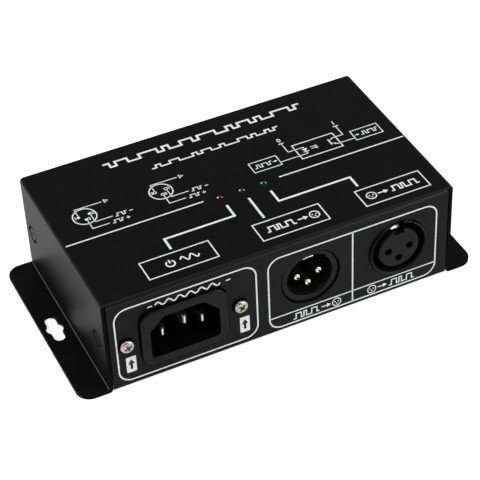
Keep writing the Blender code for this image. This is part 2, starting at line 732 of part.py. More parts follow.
def build_cover_screws():
    head = CASE_WIDTH / 2 - FLAT_HEAD_INSET
    screw = flat_head_screw(SIDE_SCREW_LENGTH)
    for side, side_name in ((-1, "left"), (1, "right")):
        places = []
        for end_name, screw_y in SIDE_SCREW_YS.items():
            places.append((f"cover_screw_{side_name}_{end_name}", (side * head, screw_y, SIDE_SCREW_HEIGHT)))
        if side == 1:
            screw = flat_head_screw(SIDE_SCREW_LENGTH)
        add_screws(screw, "black_screw", places, (0.0, side * math.pi / 2, 0.0))


# Mains inlet, placed about the middle of its face in the panel's outer plane


def build_inlet():
    centre = add_empty("inlet", (INLET_X, FRONT, INLET_HEIGHT))
    build_inlet_body(centre)
    build_blades(centre)
    screws, nuts = [], []
    for side, side_name in ((-1, "left"), (1, "right")):
        across = side * INLET_SCREW_PITCH / 2
        screws.append((f"inlet_screw_{side_name}", (across, -GAP, 0.0)))
        nuts.append((f"inlet_nut_{side_name}", (across, FLANGE_BACK + GAP - FRONT, 0.0)))
    add_screws(pan_head_screw(INLET_SCREW_LENGTH), "bright_steel", screws, (math.pi / 2, 0.0, 0.0), centre)
    add_nuts(NUT_FLATS, NUT_HEIGHT, SHANK_HOLE_RADIUS, nuts, (-math.pi / 2, 0.0, 0.0), centre)


def add_nuts(flats, height, bore, places, rotation=(0.0, 0.0, 0.0), parent=None):
    shape, hole = nut(flats, height, bore)
    first = None
    for name, place in places:
        if first is None:
            first = add_object(name, shape, "bright_steel", place, parent, rotation)
            cut(first, hole)
        else:
            share_mesh(first, name, place, rotation, parent)


def add_empty(name, place):
    empty = bpy.data.objects.new(name, None)
    empty.location = place
    bpy.context.collection.objects.link(empty)
    return empty


def inlet_cavity():
    """Outline of the inlet's opening: two lower corners rounded, two upper ones cut off."""
    u, v = INLET_CAVITY_WIDTH / 2, INLET_CAVITY_HEIGHT / 2
    cut_u, cut_v = u - INLET_CAVITY_CHAMFER, v - INLET_CAVITY_CHAMFER
    corners = [(0.0, -v), (u, -v), (u, cut_v), (cut_u, v), (-cut_u, v), (-u, cut_v), (-u, -v), (0.0, -v)]
    return rounded_path(corners, [INLET_CAVITY_CORNER] * 6, 3)[:-1]


def build_inlet_body(centre):
    face = RIM_FACE - FRONT
    flange = (FLANGE_FRONT - FRONT, FLANGE_BACK - FRONT)
    bevel = INLET_RIM_BEVEL
    rim = rectangle(INLET_RIM_WIDTH, INLET_RIM_HEIGHT, INLET_RIM_CORNER)
    rim_edge = rectangle(INLET_RIM_WIDTH - 2 * bevel, INLET_RIM_HEIGHT - 2 * bevel, INLET_RIM_CORNER - bevel)
    rim_shape = stack([(rim_edge, face), (rim, face + bevel), (rim, flange[0] + EXTRA)], "y")
    body = add_object("inlet_body", rim_shape, "black_plastic", parent=centre)
    join(body, prism(rectangle(INLET_FLANGE_WIDTH, INLET_FLANGE_HEIGHT, INLET_FLANGE_CORNER), *flange, "y"))
    shell = rectangle(INLET_BODY_WIDTH, INLET_BODY_HEIGHT, INLET_BODY_CORNER, steps=3)
    join(body, prism(shell, flange[1] - EXTRA, INLET_BACK - FRONT, "y"))
    cut(body, prism(inlet_cavity(), face - THROUGH, CAVITY_END - FRONT, "y"))
    holes = bmesh.new()
    for _, across, upwards, _ in BLADES:
        slot = rectangle(BLADE_WIDTH + 2 * GAP, BLADE_HEIGHT + 2 * GAP, centre=(across, upwards))
        prism(slot, CAVITY_END - FRONT - THROUGH, INLET_BACK - FRONT + THROUGH, "y", holes)
    for side in (-1, 1):
        screw = circle(SHANK_HOLE_RADIUS, SMALL, (side * INLET_SCREW_PITCH / 2, 0.0))
        prism(screw, flange[0] - THROUGH, flange[1] + THROUGH, "y", holes)
    cut(body, holes)


def build_blades(centre):
    """Flat blades with tapered tips, each ending in a thin tab behind the inlet."""
    for name, across, upwards, tip_depth in BLADES:
        tip = RIM_FACE - FRONT + tip_depth
        shoulder = INLET_BACK - FRONT + GAP
        taper = BLADE_TIP_TAPER
        sections = [
            (rectangle(BLADE_WIDTH - 2 * taper, BLADE_HEIGHT - 2 * taper), tip),
            (rectangle(BLADE_WIDTH, BLADE_HEIGHT), tip + 2 * taper),
            (rectangle(BLADE_WIDTH, BLADE_HEIGHT), shoulder),
            (rectangle(BLADE_TAB_THICKNESS, BLADE_TAB_HEIGHT), shoulder + BLADE_WIDTH / 2),
            (rectangle(BLADE_TAB_THICKNESS, BLADE_TAB_HEIGHT), BLADE_END - FRONT),
        ]
        place = (across, 0.0, upwards)
        add_object(f"inlet_blade_{name}", stack(sections, "y"), "bright_steel", place, centre)


# Data sockets, each placed about its axis in the panel's outer plane


def socket_shell(name, centre, face, nose_radius, bore_radius):
    """A block on the board with a round nose through the panel and a bore through both."""
    front, back = SOCKET_BLOCK_FRONT - FRONT, SOCKET_BLOCK_BACK - FRONT
    block = rectangle(SOCKET_BLOCK_WIDTH, SOCKET_BLOCK_HEIGHT, SOCKET_BLOCK_CORNER)
    shell = add_object(name, prism(block, front, back, "y"), "black_plastic", parent=centre)
    nose = [
        (circle(nose_radius - SOCKET_EDGE, LARGE), face),
        (circle(nose_radius, LARGE), face + SOCKET_EDGE),
        (circle(nose_radius, LARGE), front + EXTRA),
    ]
    join(shell, stack(nose, "y"))
    bore = [
        (circle(bore_radius + SOCKET_EDGE + EXTRA, LARGE), face - EXTRA),
        (circle(bore_radius, LARGE), face + SOCKET_EDGE),
        (circle(bore_radius, LARGE), back + THROUGH),
    ]
    cut(shell, stack(bore, "y"))
    return shell


def radial_box(angle, width, inner, outer, low, high):
    """A bar between two radii, angle degrees clockwise from the top, from low to high along Y."""
    turn = math.radians(angle)
    outline = []
    for u, v in ((-width / 2, inner), (width / 2, inner), (width / 2, outer), (-width / 2, outer)):
        outline.append((u * math.cos(turn) + v * math.sin(turn), v * math.cos(turn) - u * math.sin(turn)))
    return prism(outline, low, high, "y")


def add_carrier(name, centre, sections):
    return add_object(name, stack(sections, "y"), "black_plastic", parent=centre)


def tail_route(height, start):
    """From a contact's back end, along Y and then down through the board; height is the contact's own."""
    drop = TAIL_Y - FRONT
    bend = arc((drop - TAIL_BEND, -TAIL_BEND), TAIL_BEND, 90, 0, 4)
    route = [Vector((0.0, start, 0.0))]
    route += [Vector((0.0, along, upwards)) for along, upwards in bend]
    route.append(Vector((0.0, drop, TAIL_END - SOCKET_HEIGHT - height)))
    return route


def build_data_input():
    centre = add_empty("data_input", (SOCKET_IN_X, FRONT, SOCKET_HEIGHT))
    face, back = SOCKET_IN_FACE - FRONT, SOCKET_BLOCK_BACK - FRONT
    shell = socket_shell("data_input_housing", centre, face, SOCKET_IN_NOSE_RADIUS, SOCKET_IN_BORE_RADIUS)
    slot_inner = SOCKET_IN_BORE_RADIUS - EXTRA
    slot_span = (face - THROUGH, face + KEY_SLOT_DEPTH)
    cut(shell, radial_box(KEY_SLOT_ANGLE, KEY_SLOT_WIDTH, slot_inner, KEY_SLOT_REACH, *slot_span))
    carrier_front = back - SOCKET_IN_CARRIER_DEPTH
    rib_outer = SOCKET_IN_BORE_RADIUS + GAP
    rib_span = (face + 2 * SOCKET_EDGE, carrier_front - GAP)
    join(shell, radial_box(KEY_RIB_ANGLE, KEY_RIB_WIDTH, KEY_RIB_REACH, rib_outer, *rib_span))
    disc = circle(SOCKET_IN_BORE_RADIUS - GAP, LARGE)
    carrier = add_carrier("data_input_carrier", centre, [(disc, carrier_front), (disc, back)])
    holes = bmesh.new()
    for across, upwards in CONTACTS:
        hole = circle(PIN_RADIUS + GAP, SMALL, (across, upwards))
        prism(hole, carrier_front - THROUGH, back + THROUGH, "y", holes)
    cut(carrier, holes)
    tip = face + SOCKET_IN_PIN_DEPTH
    nib = [(0.0, 0.0), (0.55, 0.12), (0.88, 0.5), (1.0, 1.0)]
    profile = [(PIN_RADIUS * u, tip + PIN_RADIUS * v) for u, v in nib]
    profile += [(PIN_RADIUS, back + GAP), (0.0, back + GAP)]
    for number, (across, upwards) in enumerate(CONTACTS, 1):
        place = (across, 0.0, upwards)
        name = f"data_input_pin_{number}"
        pin = add_object(name, turned(profile, "y", SMALL), "gold_plate", place, centre)
        join(pin, tube(tail_route(upwards, back - EXTRA), TAIL_RADIUS))


def build_data_output():
    centre = add_empty("data_output", (SOCKET_OUT_X, FRONT, SOCKET_HEIGHT))
    face, back = SOCKET_OUT_FACE - FRONT, SOCKET_BLOCK_BACK - FRONT
    shell = socket_shell("data_output_housing", centre, face, SOCKET_OUT_NOSE_RADIUS, SOCKET_OUT_BORE_RADIUS)
    window_high = SOCKET_OUT_NOSE_RADIUS + THROUGH
    window_half = RIM_WINDOW_WIDTH / 2
    cut(shell, box((-window_half, face - THROUGH, RIM_WINDOW_LOW), (window_half, -GAP, window_high)))
    slot_half = LATCH_WIDTH / 2 + LATCH_SIDE_ROOM
    slot_high = LATCH_SLOT_TOP - SOCKET_HEIGHT
    slot_end = LATCH_SEAT_Y - FRONT
    slot_low = SOCKET_OUT_BORE_RADIUS - EXTRA
    cut(shell, box((-slot_half, face - THROUGH, slot_low), (slot_half, slot_end, slot_high)))
    build_output_carrier(centre, back)
    build_contacts(centre, back)
    build_latch()


def build_output_carrier(centre, back):
    front = SOCKET_OUT_FACE - FRONT + SOCKET_OUT_CARRIER_RECESS
    foot_front = LATCH_SEAT_Y - FRONT
    foot_radius = SOCKET_OUT_BORE_RADIUS - GAP
    sections = [
        (circle(SOCKET_OUT_CARRIER_RADIUS - SOCKET_EDGE, LARGE), front),
        (circle(SOCKET_OUT_CARRIER_RADIUS, LARGE), front + SOCKET_EDGE),
        (circle(SOCKET_OUT_CARRIER_RADIUS, LARGE), foot_front),
        (circle(foot_radius, LARGE), foot_front),
        (circle(foot_radius, LARGE), back),
    ]
    carrier = add_carrier("data_output_carrier", centre, sections)
    notch_low = LATCH_RADIUS - LATCH_NOSE_DROP - GAP
    notch_half = LATCH_WIDTH / 2 + LATCH_SIDE_ROOM
    notch_end = LATCH_TIP + LATCH_NOSE_LENGTH - FRONT
    notch_high = SOCKET_OUT_CARRIER_RADIUS + THROUGH
    cut(carrier, box((-notch_half, front - THROUGH, notch_low), (notch_half, notch_end, notch_high)))
    seat = front + CONTACT_MOUTH_DEPTH
    holes = bmesh.new()
    for across, upwards in CONTACTS:
        mouth = circle(CONTACT_MOUTH_RADIUS, SMALL, (across, upwards))
        sleeve = circle(CONTACT_RADIUS + GAP, SMALL, (across, upwards))
        sections = [(mouth, front - THROUGH), (mouth, seat), (sleeve, seat), (sleeve, back + THROUGH)]
        stack(sections, "y", holes)
    cut(carrier, holes)


def build_contacts(centre, back):
    front = SOCKET_OUT_FACE - FRONT + SOCKET_OUT_CARRIER_RECESS + CONTACT_MOUTH_DEPTH + GAP
    bore_end = front + CONTACT_BORE_DEPTH
    end = back + GAP
    bore, outside = CONTACT_BORE_RADIUS, CONTACT_RADIUS
    profile = [(0.0, bore_end), (bore, bore_end), (bore, front)]
    profile += [(outside, front), (outside, end), (0.0, end)]
    for number, (across, upwards) in enumerate(CONTACTS, 1):
        place = (across, 0.0, upwards)
        name = f"data_output_contact_{number}"
        contact = add_object(name, turned(profile, "y", SMALL), "gold_plate", place, centre)
        join(contact, tube(tail_route(upwards, back - EXTRA), TAIL_RADIUS))


def build_latch():
    """A leaf whose nose bends down to an upright lip, its origin on the line that it bends about."""
    half = LATCH_THICKNESS / 2
    knee = LATCH_NOSE_LENGTH - LATCH_REACH
    lip_back = LATCH_THICKNESS - LATCH_REACH
    lip_low = -half - LATCH_NOSE_DROP
    lip_high = lip_low + LATCH_LIP
    slope = (half - lip_high) / LATCH_NOSE_LENGTH
    meet = math.degrees(math.asin(half / LATCH_ROOT_RADIUS))
    outline = [(knee, half), (-LATCH_REACH, lip_high), (-LATCH_REACH, lip_low), (lip_back, lip_low)]
    outline += [(lip_back, lip_high + (slope - 1) * LATCH_THICKNESS), (knee, -half)]
    outline += arc((0.0, 0.0), LATCH_ROOT_RADIUS, 180 + meet, 540 - meet, 12)
    leaf = prism(outline, -LATCH_WIDTH / 2, LATCH_WIDTH / 2, "x")
    add_object("data_output_latch", leaf, "spring_steel", (SOCKET_OUT_X, LATCH_HINGE_Y, LATCH_HINGE_Z))


# Circuit board and what it stands on


def build_board():
    outline = [
        (-BOARD_HALF_WIDTH, BOARD_BAY_Y),
        (BOARD_BAY_X, BOARD_BAY_Y),
        (BOARD_BAY_X, BOARD_FRONT),
        (BOARD_HALF_WIDTH, BOARD_FRONT),
        (BOARD_HALF_WIDTH, BOARD_REAR),
        (-BOARD_HALF_WIDTH, BOARD_REAR),
    ]
    board = add_object("main_board", prism(outline, BOARD_UNDERSIDE, BOARD_TOP, "z"), "board_green")
    holes = bmesh.new()
    depth = (BOARD_UNDERSIDE - THROUGH, BOARD_TOP + THROUGH)
    for place in STANDOFFS:
        prism(circle(SHANK_HOLE_RADIUS, SMALL, place), *depth, "z", holes)
    for socket_x in (SOCKET_IN_X, SOCKET_OUT_X):
        for across, _ in CONTACTS:
            prism(circle(TAIL_RADIUS + GAP, SMALL // 2, (socket_x + across, TAIL_Y)), *depth, "z", holes)
    for _, lamp_x in LAMPS:
        for side in (-1, 1):
            lead = (lamp_x + side * LEAD_PITCH / 2, LAMP_Y)
            prism(circle(LEAD_RADIUS + GAP, SMALL // 2, lead), *depth, "z", holes)
    cut(board, holes)


def build_standoffs():
    bore = SHANK_HOLE_RADIUS
    low, floor, top = FLUSH, SHEET + GAP, BOARD_UNDERSIDE - GAP
    profile = [(bore, low), (SPIGOT_RADIUS, low), (SPIGOT_RADIUS, floor), (STANDOFF_RADIUS, floor)]
    profile += [(STANDOFF_RADIUS, top), (bore, top)]
    screws = []
    first = None
    for number, (place_x, place_y) in enumerate(STANDOFFS, 1):
        name = f"board_standoff_{number}"
        if first is None:
            first = add_object(name, turned(profile, "z", SMALL), "bright_steel", (place_x, place_y, 0.0))
        else:
            share_mesh(first, name, (place_x, place_y, 0.0))
        screws.append((f"board_screw_{number}", (place_x, place_y, ON_BOARD)))
    add_screws(pan_head_screw(BOARD_SCREW_LENGTH), "bright_steel", screws)


def build_lamps():
    """Three lamps whose domes fill the cover's holes, each on a spacer that stands on the board."""
    dome_start = LAMP_LENGTH - LAMP_RADIUS
    profile = [(0.0, 0.0), (LAMP_FLANGE_RADIUS, 0.0), (LAMP_FLANGE_RADIUS, LAMP_FLANGE_HEIGHT)]
    profile += [(LAMP_RADIUS, LAMP_FLANGE_HEIGHT)]
    profile += arc((0.0, dome_start), LAMP_RADIUS, 0, 75, 4)
    profile += [(0.0, LAMP_LENGTH)]
    for name, lamp_x in LAMPS:
        lens = "red_lens" if name == "power_lamp" else "green_lens"
        lamp = add_object(name, turned(profile, "z", SMALL), lens, (lamp_x, LAMP_Y, LAMP_BASE))
        leads = bmesh.new()
        for side in (-1, 1):
            lead = circle(LEAD_RADIUS, SMALL // 2, (side * LEAD_PITCH / 2, 0.0))
            prism(lead, TAIL_END - LAMP_BASE, LAMP_FLANGE_HEIGHT / 2, "z", leads)
        join(lamp, leads)
        bore = LEAD_PITCH / 2 + LEAD_RADIUS + GAP
        low, high = ON_BOARD, LAMP_BASE - GAP
        sleeve = [(bore, low), (SPACER_RADIUS, low), (SPACER_RADIUS, high), (bore, high)]
        add_object(f"{name}_spacer", turned(sleeve, "z", SMALL), "nylon_white", (lamp_x, LAMP_Y, 0.0))


# Parts on the board


def block(name, size, place, material, corner=0.0005):
    """An upright block standing just clear of the board, placed by the middle of its footprint."""
    outline = rectangle(size[0], size[1], corner, steps=2)
    return add_object(name, prism(outline, 0.0, size[2], "z"), material, (place[0], place[1], ON_BOARD))


def add_package(name, size, place, legs_per_side, pitch):
    """A moulded package with gull-wing legs along its two long sides."""
    length, width, height = size
    body = rectangle(length, width, CHIP_CORNER, steps=2)
    shape = prism(body, CHIP_STANDOFF, height, "z")
    package = add_object(name, shape, "chip_black", (place[0], place[1], ON_BOARD))
    shoulder = height / 2
    reach, thick = width / 2 + LEG_REACH, LEG_THICKNESS
    bend = reach - LEG_FOOT
    outline = [
        (width / 2 - EXTRA, shoulder + thick),
        (width / 2 - EXTRA, shoulder),
        (bend - thick, shoulder),
        (bend - thick, 0.0),
        (reach, 0.0),
        (reach, thick),
        (bend, thick),
        (bend, shoulder + thick),
    ]
    legs = bmesh.new()
    for side in (-1, 1):
        for index in range(legs_per_side):
            middle = (index - (legs_per_side - 1) / 2) * pitch
            leg = [(side * along, upwards) for along, upwards in outline]
            prism(leg, middle - LEG_WIDTH / 2, middle + LEG_WIDTH / 2, "x", legs)
    join(package, legs)


def build_terminal_block():
    size = (TERMINAL_PITCH * 2 + 2 * TERMINAL_WALL, TERMINAL_DEPTH, TERMINAL_HEIGHT)
    terminal = block("mains_terminal_block", size, (TERMINAL_X, TERMINAL_Y), "terminal_green")
    holes = bmesh.new()
    front = -TERMINAL_DEPTH / 2
    for across in (-TERMINAL_PITCH / 2, TERMINAL_PITCH / 2):
        entry = circle(WIRE_RADIUS + GAP, SMALL, (across, TERMINAL_ENTRY_HEIGHT - ON_BOARD))
        prism(entry, front - THROUGH, front + TERMINAL_ENTRY_DEPTH, "y", holes)
        screw = circle(WIRE_RADIUS * 2, SMALL, (across, 0.0))
        prism(screw, TERMINAL_HEIGHT - RECESS_DEPTH, TERMINAL_HEIGHT + THROUGH, "z", holes)
    cut(terminal, holes)


def build_fuse():
    """A glass fuse lying between the two cradles of its holder."""
    length, width = FUSE_LENGTH + 2 * FUSE_END_ROOM, 2 * FUSE_RADIUS + 2 * FUSE_CRADLE_WALL
    holder = block("fuse_holder", (length, width, FUSE_HOLDER_BASE), (FUSE_X, FUSE_Y), "chip_black")
    cradle_height = FUSE_HEIGHT + FUSE_CRADLE_WRAP
    for side in (-1, 1):
        outer = side * length / 2
        inner = side * (length / 2 - FUSE_CRADLE_LENGTH)
        low, high = min(outer, inner), max(outer, inner)
        inset = EXTRA / 4
        corner_low = (low + inset, -width / 2 + inset, FUSE_HOLDER_BASE / 2)
        join(holder, box(corner_low, (high - inset, width / 2 - inset, cradle_height)))
    seat = FUSE_RADIUS + GAP
    channel = FUSE_LENGTH / 2 + GAP
    cut(holder, prism(circle(seat, SMALL, (0.0, FUSE_HEIGHT)), -channel, channel, "x"))
    mouth = seat * 0.8
    cut(holder, box((-channel, -mouth, FUSE_HEIGHT), (channel, mouth, cradle_height + THROUGH)))
    half, waist = FUSE_LENGTH / 2, FUSE_RADIUS - FUSE_CAP_STEP
    cap = half - FUSE_CAP_LENGTH
    profile = [(0.0, -half), (FUSE_RADIUS, -half), (FUSE_RADIUS, -cap), (waist, -cap)]
    profile += [(waist, cap), (FUSE_RADIUS, cap), (FUSE_RADIUS, half), (0.0, half)]
    place = (FUSE_X, FUSE_Y, ON_BOARD + FUSE_HEIGHT)
    add_object("fuse_link", turned(profile, "x", SMALL), "fuse_glass", place)


def build_capacitors():
    for number, back in enumerate(CAPACITOR_BACKS, 1):
        neck = CAPACITOR_RADIUS * 0.93
        profile = [(0.0, 0.0), (CAPACITOR_RADIUS, 0.0), (CAPACITOR_RADIUS, CAPACITOR_HEIGHT * 0.10)]
        profile += [(neck, CAPACITOR_HEIGHT * 0.14), (CAPACITOR_RADIUS, CAPACITOR_HEIGHT * 0.18)]
        profile += [(CAPACITOR_RADIUS, CAPACITOR_HEIGHT * 0.97), (neck, CAPACITOR_HEIGHT)]
        profile += [(0.0, CAPACITOR_HEIGHT)]
        place = (CAPACITOR_X, BOARD_REAR - back, ON_BOARD)
        add_object(f"supply_capacitor_{number}", turned(profile, "z", SMALL), "capacitor_blue", place)


def build_electronics():
    build_terminal_block()
    build_fuse()
    build_capacitors()
    block("ac_dc_converter", CONVERTER_SIZE, (CONVERTER_X, BOARD_REAR - CONVERTER_BACK), "chip_black", 0.001)
    block("isolated_dc_converter", ISOLATED_SIZE, (ISOLATED_X, BOARD_REAR - ISOLATED_BACK), "chip_black")
    regulator = (REGULATOR_X, BOARD_REAR - REGULATOR_BACK)
    add_package("voltage_regulator", REGULATOR_SIZE, regulator, 3, REGULATOR_PITCH)
    transceiver_y, optocoupler_y = TAIL_Y + TRANSCEIVER_BACK, TAIL_Y + OPTOCOUPLER_BACK
    for number, across in enumerate((SOCKET_IN_X + CHIP_SHIFT, SOCKET_OUT_X), 1):
        kind = "input" if number == 1 else "output"
        add_package(f"{kind}_transceiver", TRANSCEIVER_SIZE, (across, transceiver_y), 4, CHIP_PITCH)
        add_package(f"optocoupler_{number}", OPTOCOUPLER_SIZE, (across, optocoupler_y), 3, CHIP_PITCH)


# Wires and the earth point


def receptacle():
    """A sleeve pushed over a blade's tab, about the tab's end, and the slot in it."""
    width = BLADE_TAB_THICKNESS + 2 * GAP + 2 * RECEPTACLE_WALL
    height = BLADE_TAB_HEIGHT + 2 * GAP + 2 * RECEPTACLE_WALL
    outline = rectangle(width, height, RECEPTACLE_WALL, steps=2)
    sleeve = prism(outline, -RECEPTACLE_GRIP, RECEPTACLE_TAIL, "y")
    slot = rectangle(BLADE_TAB_THICKNESS + 2 * GAP, BLADE_TAB_HEIGHT + 2 * GAP)
    return sleeve, prism(slot, -RECEPTACLE_GRIP - THROUGH, GAP, "y")


def add_wire(name, material, blade, points, end_points):
    """A wire with a receptacle on a blade's tab. Its points count from the tab's end, its end points don't."""
    sleeve, slot = receptacle()
    tab_end = Vector(blade_tab_end(blade))
    wire = add_object(name, sleeve, material, tab_end)
    cut(wire, slot)
    route = [Vector((0.0, RECEPTACLE_TAIL - EXTRA, 0.0)), Vector((0.0, RECEPTACLE_TAIL + EXTRA, 0.0))]
    route += [Vector(point) for point in points]
    route += [Vector(point) - tab_end for point in end_points]
    join(wire, tube(smooth_route(route), WIRE_RADIUS))


def blade_tab_end(name):
    for blade_name, across, upwards, _ in BLADES:
        if blade_name == name:
            return (INLET_X + across, BLADE_END, INLET_HEIGHT + upwards)


def build_wires():
    entry_y = TERMINAL_Y - TERMINAL_DEPTH / 2
    line_x, neutral_x = TERMINAL_X - TERMINAL_PITCH / 2, TERMINAL_X + TERMINAL_PITCH / 2
    inside = entry_y + TERMINAL_ENTRY_DEPTH - GAP
    level = TERMINAL_ENTRY_HEIGHT
    line_end = [(line_x, y, level) for y in (entry_y - WIRE_STRAIGHT, entry_y, inside)]
    neutral_end = [(neutral_x, y, level) for y in (entry_y - WIRE_STRAIGHT, entry_y, inside)]
    crimp_y = STUD_Y + RING_TONGUE + RING_BARREL_LENGTH
    crimp_z = RING_LOW + RING_BARREL_RADIUS
    earth_end = [
        (STUD_X, crimp_y + CRIMP_LEAD, crimp_z + CRIMP_RISE),
        (STUD_X, crimp_y, crimp_z),
        (STUD_X, crimp_y - RING_BARREL_LENGTH + GAP, crimp_z),
    ]
    add_wire("line_wire", "wire_brown", "line", LINE_ROUTE, line_end)
    add_wire("neutral_wire", "wire_blue", "neutral", NEUTRAL_ROUTE, neutral_end)
    add_wire("earth_wire", "wire_green", "earth", EARTH_ROUTE, earth_end)


def build_earth_point():
    """A stud pressed into the floor, with the earth wire's ring terminal under its nut."""
    floor, base_top = SHEET + GAP, SHEET + GAP + STUD_BASE_HEIGHT
    top = base_top + STUD_HEIGHT
    profile = [(0.0, FLUSH), (STUD_RADIUS, FLUSH), (STUD_RADIUS, floor), (STUD_BASE_RADIUS, floor)]
    profile += [(STUD_BASE_RADIUS, base_top), (STUD_RADIUS, base_top), (STUD_RADIUS, top - EXTRA / 2)]
    profile += [(STUD_RADIUS - EXTRA / 2, top), (0.0, top)]
    add_object("earth_stud", turned(profile, "z", SMALL), "bright_steel", (STUD_X, STUD_Y, 0.0))
    ring_shape = prism(circle(RING_RADIUS, SMALL), 0.0, RING_THICKNESS, "z")
    ring = add_object("earth_ring_terminal", ring_shape, "bright_steel", (STUD_X, STUD_Y, RING_LOW))
    tongue_inset = EXTRA / 10
    tongue_end = RING_TONGUE + EXTRA
    tongue_low = (-RING_BARREL_RADIUS, 0.0, tongue_inset)
    join(ring, box(tongue_low, (RING_BARREL_RADIUS, tongue_end, RING_THICKNESS - tongue_inset)))
    barrel = circle(RING_BARREL_RADIUS, SMALL, (0.0, RING_BARREL_RADIUS))
    join(ring, prism(barrel, RING_TONGUE, RING_TONGUE + RING_BARREL_LENGTH, "y"))
    cut(ring, cylinder(STUD_RADIUS + GAP, -THROUGH, RING_THICKNESS + THROUGH, "z", SMALL))
    bore = circle(WIRE_RADIUS + GAP, SMALL, (0.0, RING_BARREL_RADIUS))
    cut(ring, prism(bore, RING_TONGUE - EXTRA / 2, RING_TONGUE + RING_BARREL_LENGTH + THROUGH, "y"))
    nut_place = (STUD_X, STUD_Y, RING_LOW + RING_THICKNESS + GAP)
    add_nuts(STUD_NUT_FLATS, STUD_NUT_HEIGHT, STUD_RADIUS + GAP, [("earth_nut", nut_place)])


def clear_scene():
    for item in list(bpy.data.objects):
        bpy.data.objects.remove(item, do_unlink=True)


def main():
    clear_scene()
    build_cover()
    build_base()
    build_cover_screws()
    build_inlet()
    build_data_input()
    build_data_output()
    build_board()
    build_standoffs()
    build_lamps()
    build_electronics()
    build_wires()
    build_earth_point()


main()
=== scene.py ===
"""The looks of a small stage-lighting signal amplifier, made around its solids.

Sizes are in metres. Places of what is printed on the case are in millimetres from the middle of the case's
underside, +X right, +Y back, +Z up.
"""

import math

import bmesh
import bpy
from mathutils import Matrix, Vector


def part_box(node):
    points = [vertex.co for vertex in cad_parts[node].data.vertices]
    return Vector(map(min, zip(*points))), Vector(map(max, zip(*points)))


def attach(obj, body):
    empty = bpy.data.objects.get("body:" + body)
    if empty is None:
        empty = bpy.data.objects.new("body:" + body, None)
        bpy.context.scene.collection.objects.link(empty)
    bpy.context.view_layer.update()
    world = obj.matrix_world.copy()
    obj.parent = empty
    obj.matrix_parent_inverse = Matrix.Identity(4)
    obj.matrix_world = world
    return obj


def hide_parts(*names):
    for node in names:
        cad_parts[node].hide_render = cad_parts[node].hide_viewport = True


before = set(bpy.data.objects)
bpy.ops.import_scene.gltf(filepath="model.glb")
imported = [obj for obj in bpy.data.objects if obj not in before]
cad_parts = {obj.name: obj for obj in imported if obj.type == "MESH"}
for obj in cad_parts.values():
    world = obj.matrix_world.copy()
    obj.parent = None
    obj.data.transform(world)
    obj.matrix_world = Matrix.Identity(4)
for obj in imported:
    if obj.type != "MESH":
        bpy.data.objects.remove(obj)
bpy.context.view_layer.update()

MM = 0.001

# Camera, at the photograph's angle
CAMERA_PLACE = (-0.183557, -0.420409, 0.400933)
CAMERA_AZIMUTH = -23.708
CAMERA_ELEVATION = 40.262
CAMERA_ROLL = 2.914
CAMERA_LENS = 131.54

# Rounded edges; the angle is in degrees
COVER_EDGE = 0.30 * MM
BASE_EDGE = 0.22 * MM
PANEL_EDGE = 1.0 * MM
MOULDED_EDGE = 0.22 * MM
METAL_EDGE = 0.12 * MM
EDGE_ANGLE = 34

# How far a normal goes along an axis where its face is square to it, faces it or leans to it
SQUARE_ON = 0.9
FACING = 0.7
LEANING = (0.05, 0.95)

# Sides of a round piece
ROUND = 40

# Print
INK_SUNK = 0.01 * MM
INK_HEIGHT = 0.03 * MM
ARROW_HEIGHT = 0.05 * MM

# Screws; a recess's bottom is in shares of its length and width at the face
PAN_HEAD_RADIUS = 2.8 * MM
PAN_HEAD_HEIGHT = 1.9 * MM
PAN_HEAD_RIM = 0.15 * MM
PAN_DOME_RADIUS = 2.45 * MM
PAN_DOME_START = 0.50 * MM
PAN_DOME_TOP = 1.60 * MM
PAN_DOME_POWER = 0.6
PAN_DOME_STEPS = 9
FLAT_HEAD_RADIUS = 3.0 * MM
FLAT_HEAD_RIM = 0.06 * MM
FLAT_FACE_RADIUS = 2.25 * MM
# How far in from the face's edge the painted shade reaches
FLAT_FACE_SHADE = 0.03 * MM
FLAT_GROOVE_DEPTH = 0.55 * MM
THREAD_RADIUS = 1.45 * MM
THREAD_PITCH = 0.5 * MM
THREAD_DEPTH = 0.18 * MM
THREAD_START = 0.3 * MM
RECESS_WIDTH = 0.75 * MM
RECESS_LENGTH = 3.1 * MM
RECESS_DEPTH = 1.1 * MM
RECESS_ABOVE = 0.2 * MM
RECESS_BOTTOM = (0.45, 0.835)
# How far down a screw's rim the painted shade reaches
RIM_REACH = 0.60 * MM
INLET_SCREW_TURNS = {"inlet_screw_left": 22, "inlet_screw_right": -38}
BOARD_SCREW_TURN = 31
COVER_SCREW_TURNS = {"front": 18, "rear": 62}

# Contacts of the data sockets
PIN_RADIUS = 1.2 * MM
PIN_FLAT = 0.2
PIN_NOSE = 0.75 * PIN_RADIUS
PIN_HOLE_RADIUS = 0.5 * MM
PIN_HOLE_DEPTH = 0.3 * MM
CONTACT_RADIUS = 1.45 * MM
CONTACT_LIP = 0.12 * MM
CONTACT_BORE_RADIUS = 1.1 * MM
CONTACT_BORE_DEPTH = 9.0 * MM
CONTACT_BEHIND = 0.3 * MM
TAIL_RADIUS = 0.4 * MM
TAIL_BEND = 0.8 * MM
TAIL_INSIDE = 0.5 * MM

# Latch; the shine is the part of the lip's height, in shares, that isn't painted in shade
LATCH_ROOT_RADIUS = 0.5 * MM
LATCH_THICKNESS = 0.5 * MM
LATCH_NOSE = 4.6 * MM
LATCH_LIP = 1.3 * MM
LATCH_LIP_LEAN = 0.45 * MM
LATCH_SHINE = (0.2, 0.8)

# Case
CASE_HALF = 63.0 * MM
SHEET = 1.2 * MM
EAR_TOP = 1.2 * MM
# Width of the painted highlight along each ear's bend
BEND_HIGHLIGHT = 0.20 * MM

# Earth strip, over an arc in degrees
STRIP_OUTER = 8.22 * MM
STRIP_INNER = 7.90 * MM
STRIP_ARC = (107, 80)
STRIP_DEPTH = 0.30 * MM
STRIP_LENGTH = 4.0 * MM
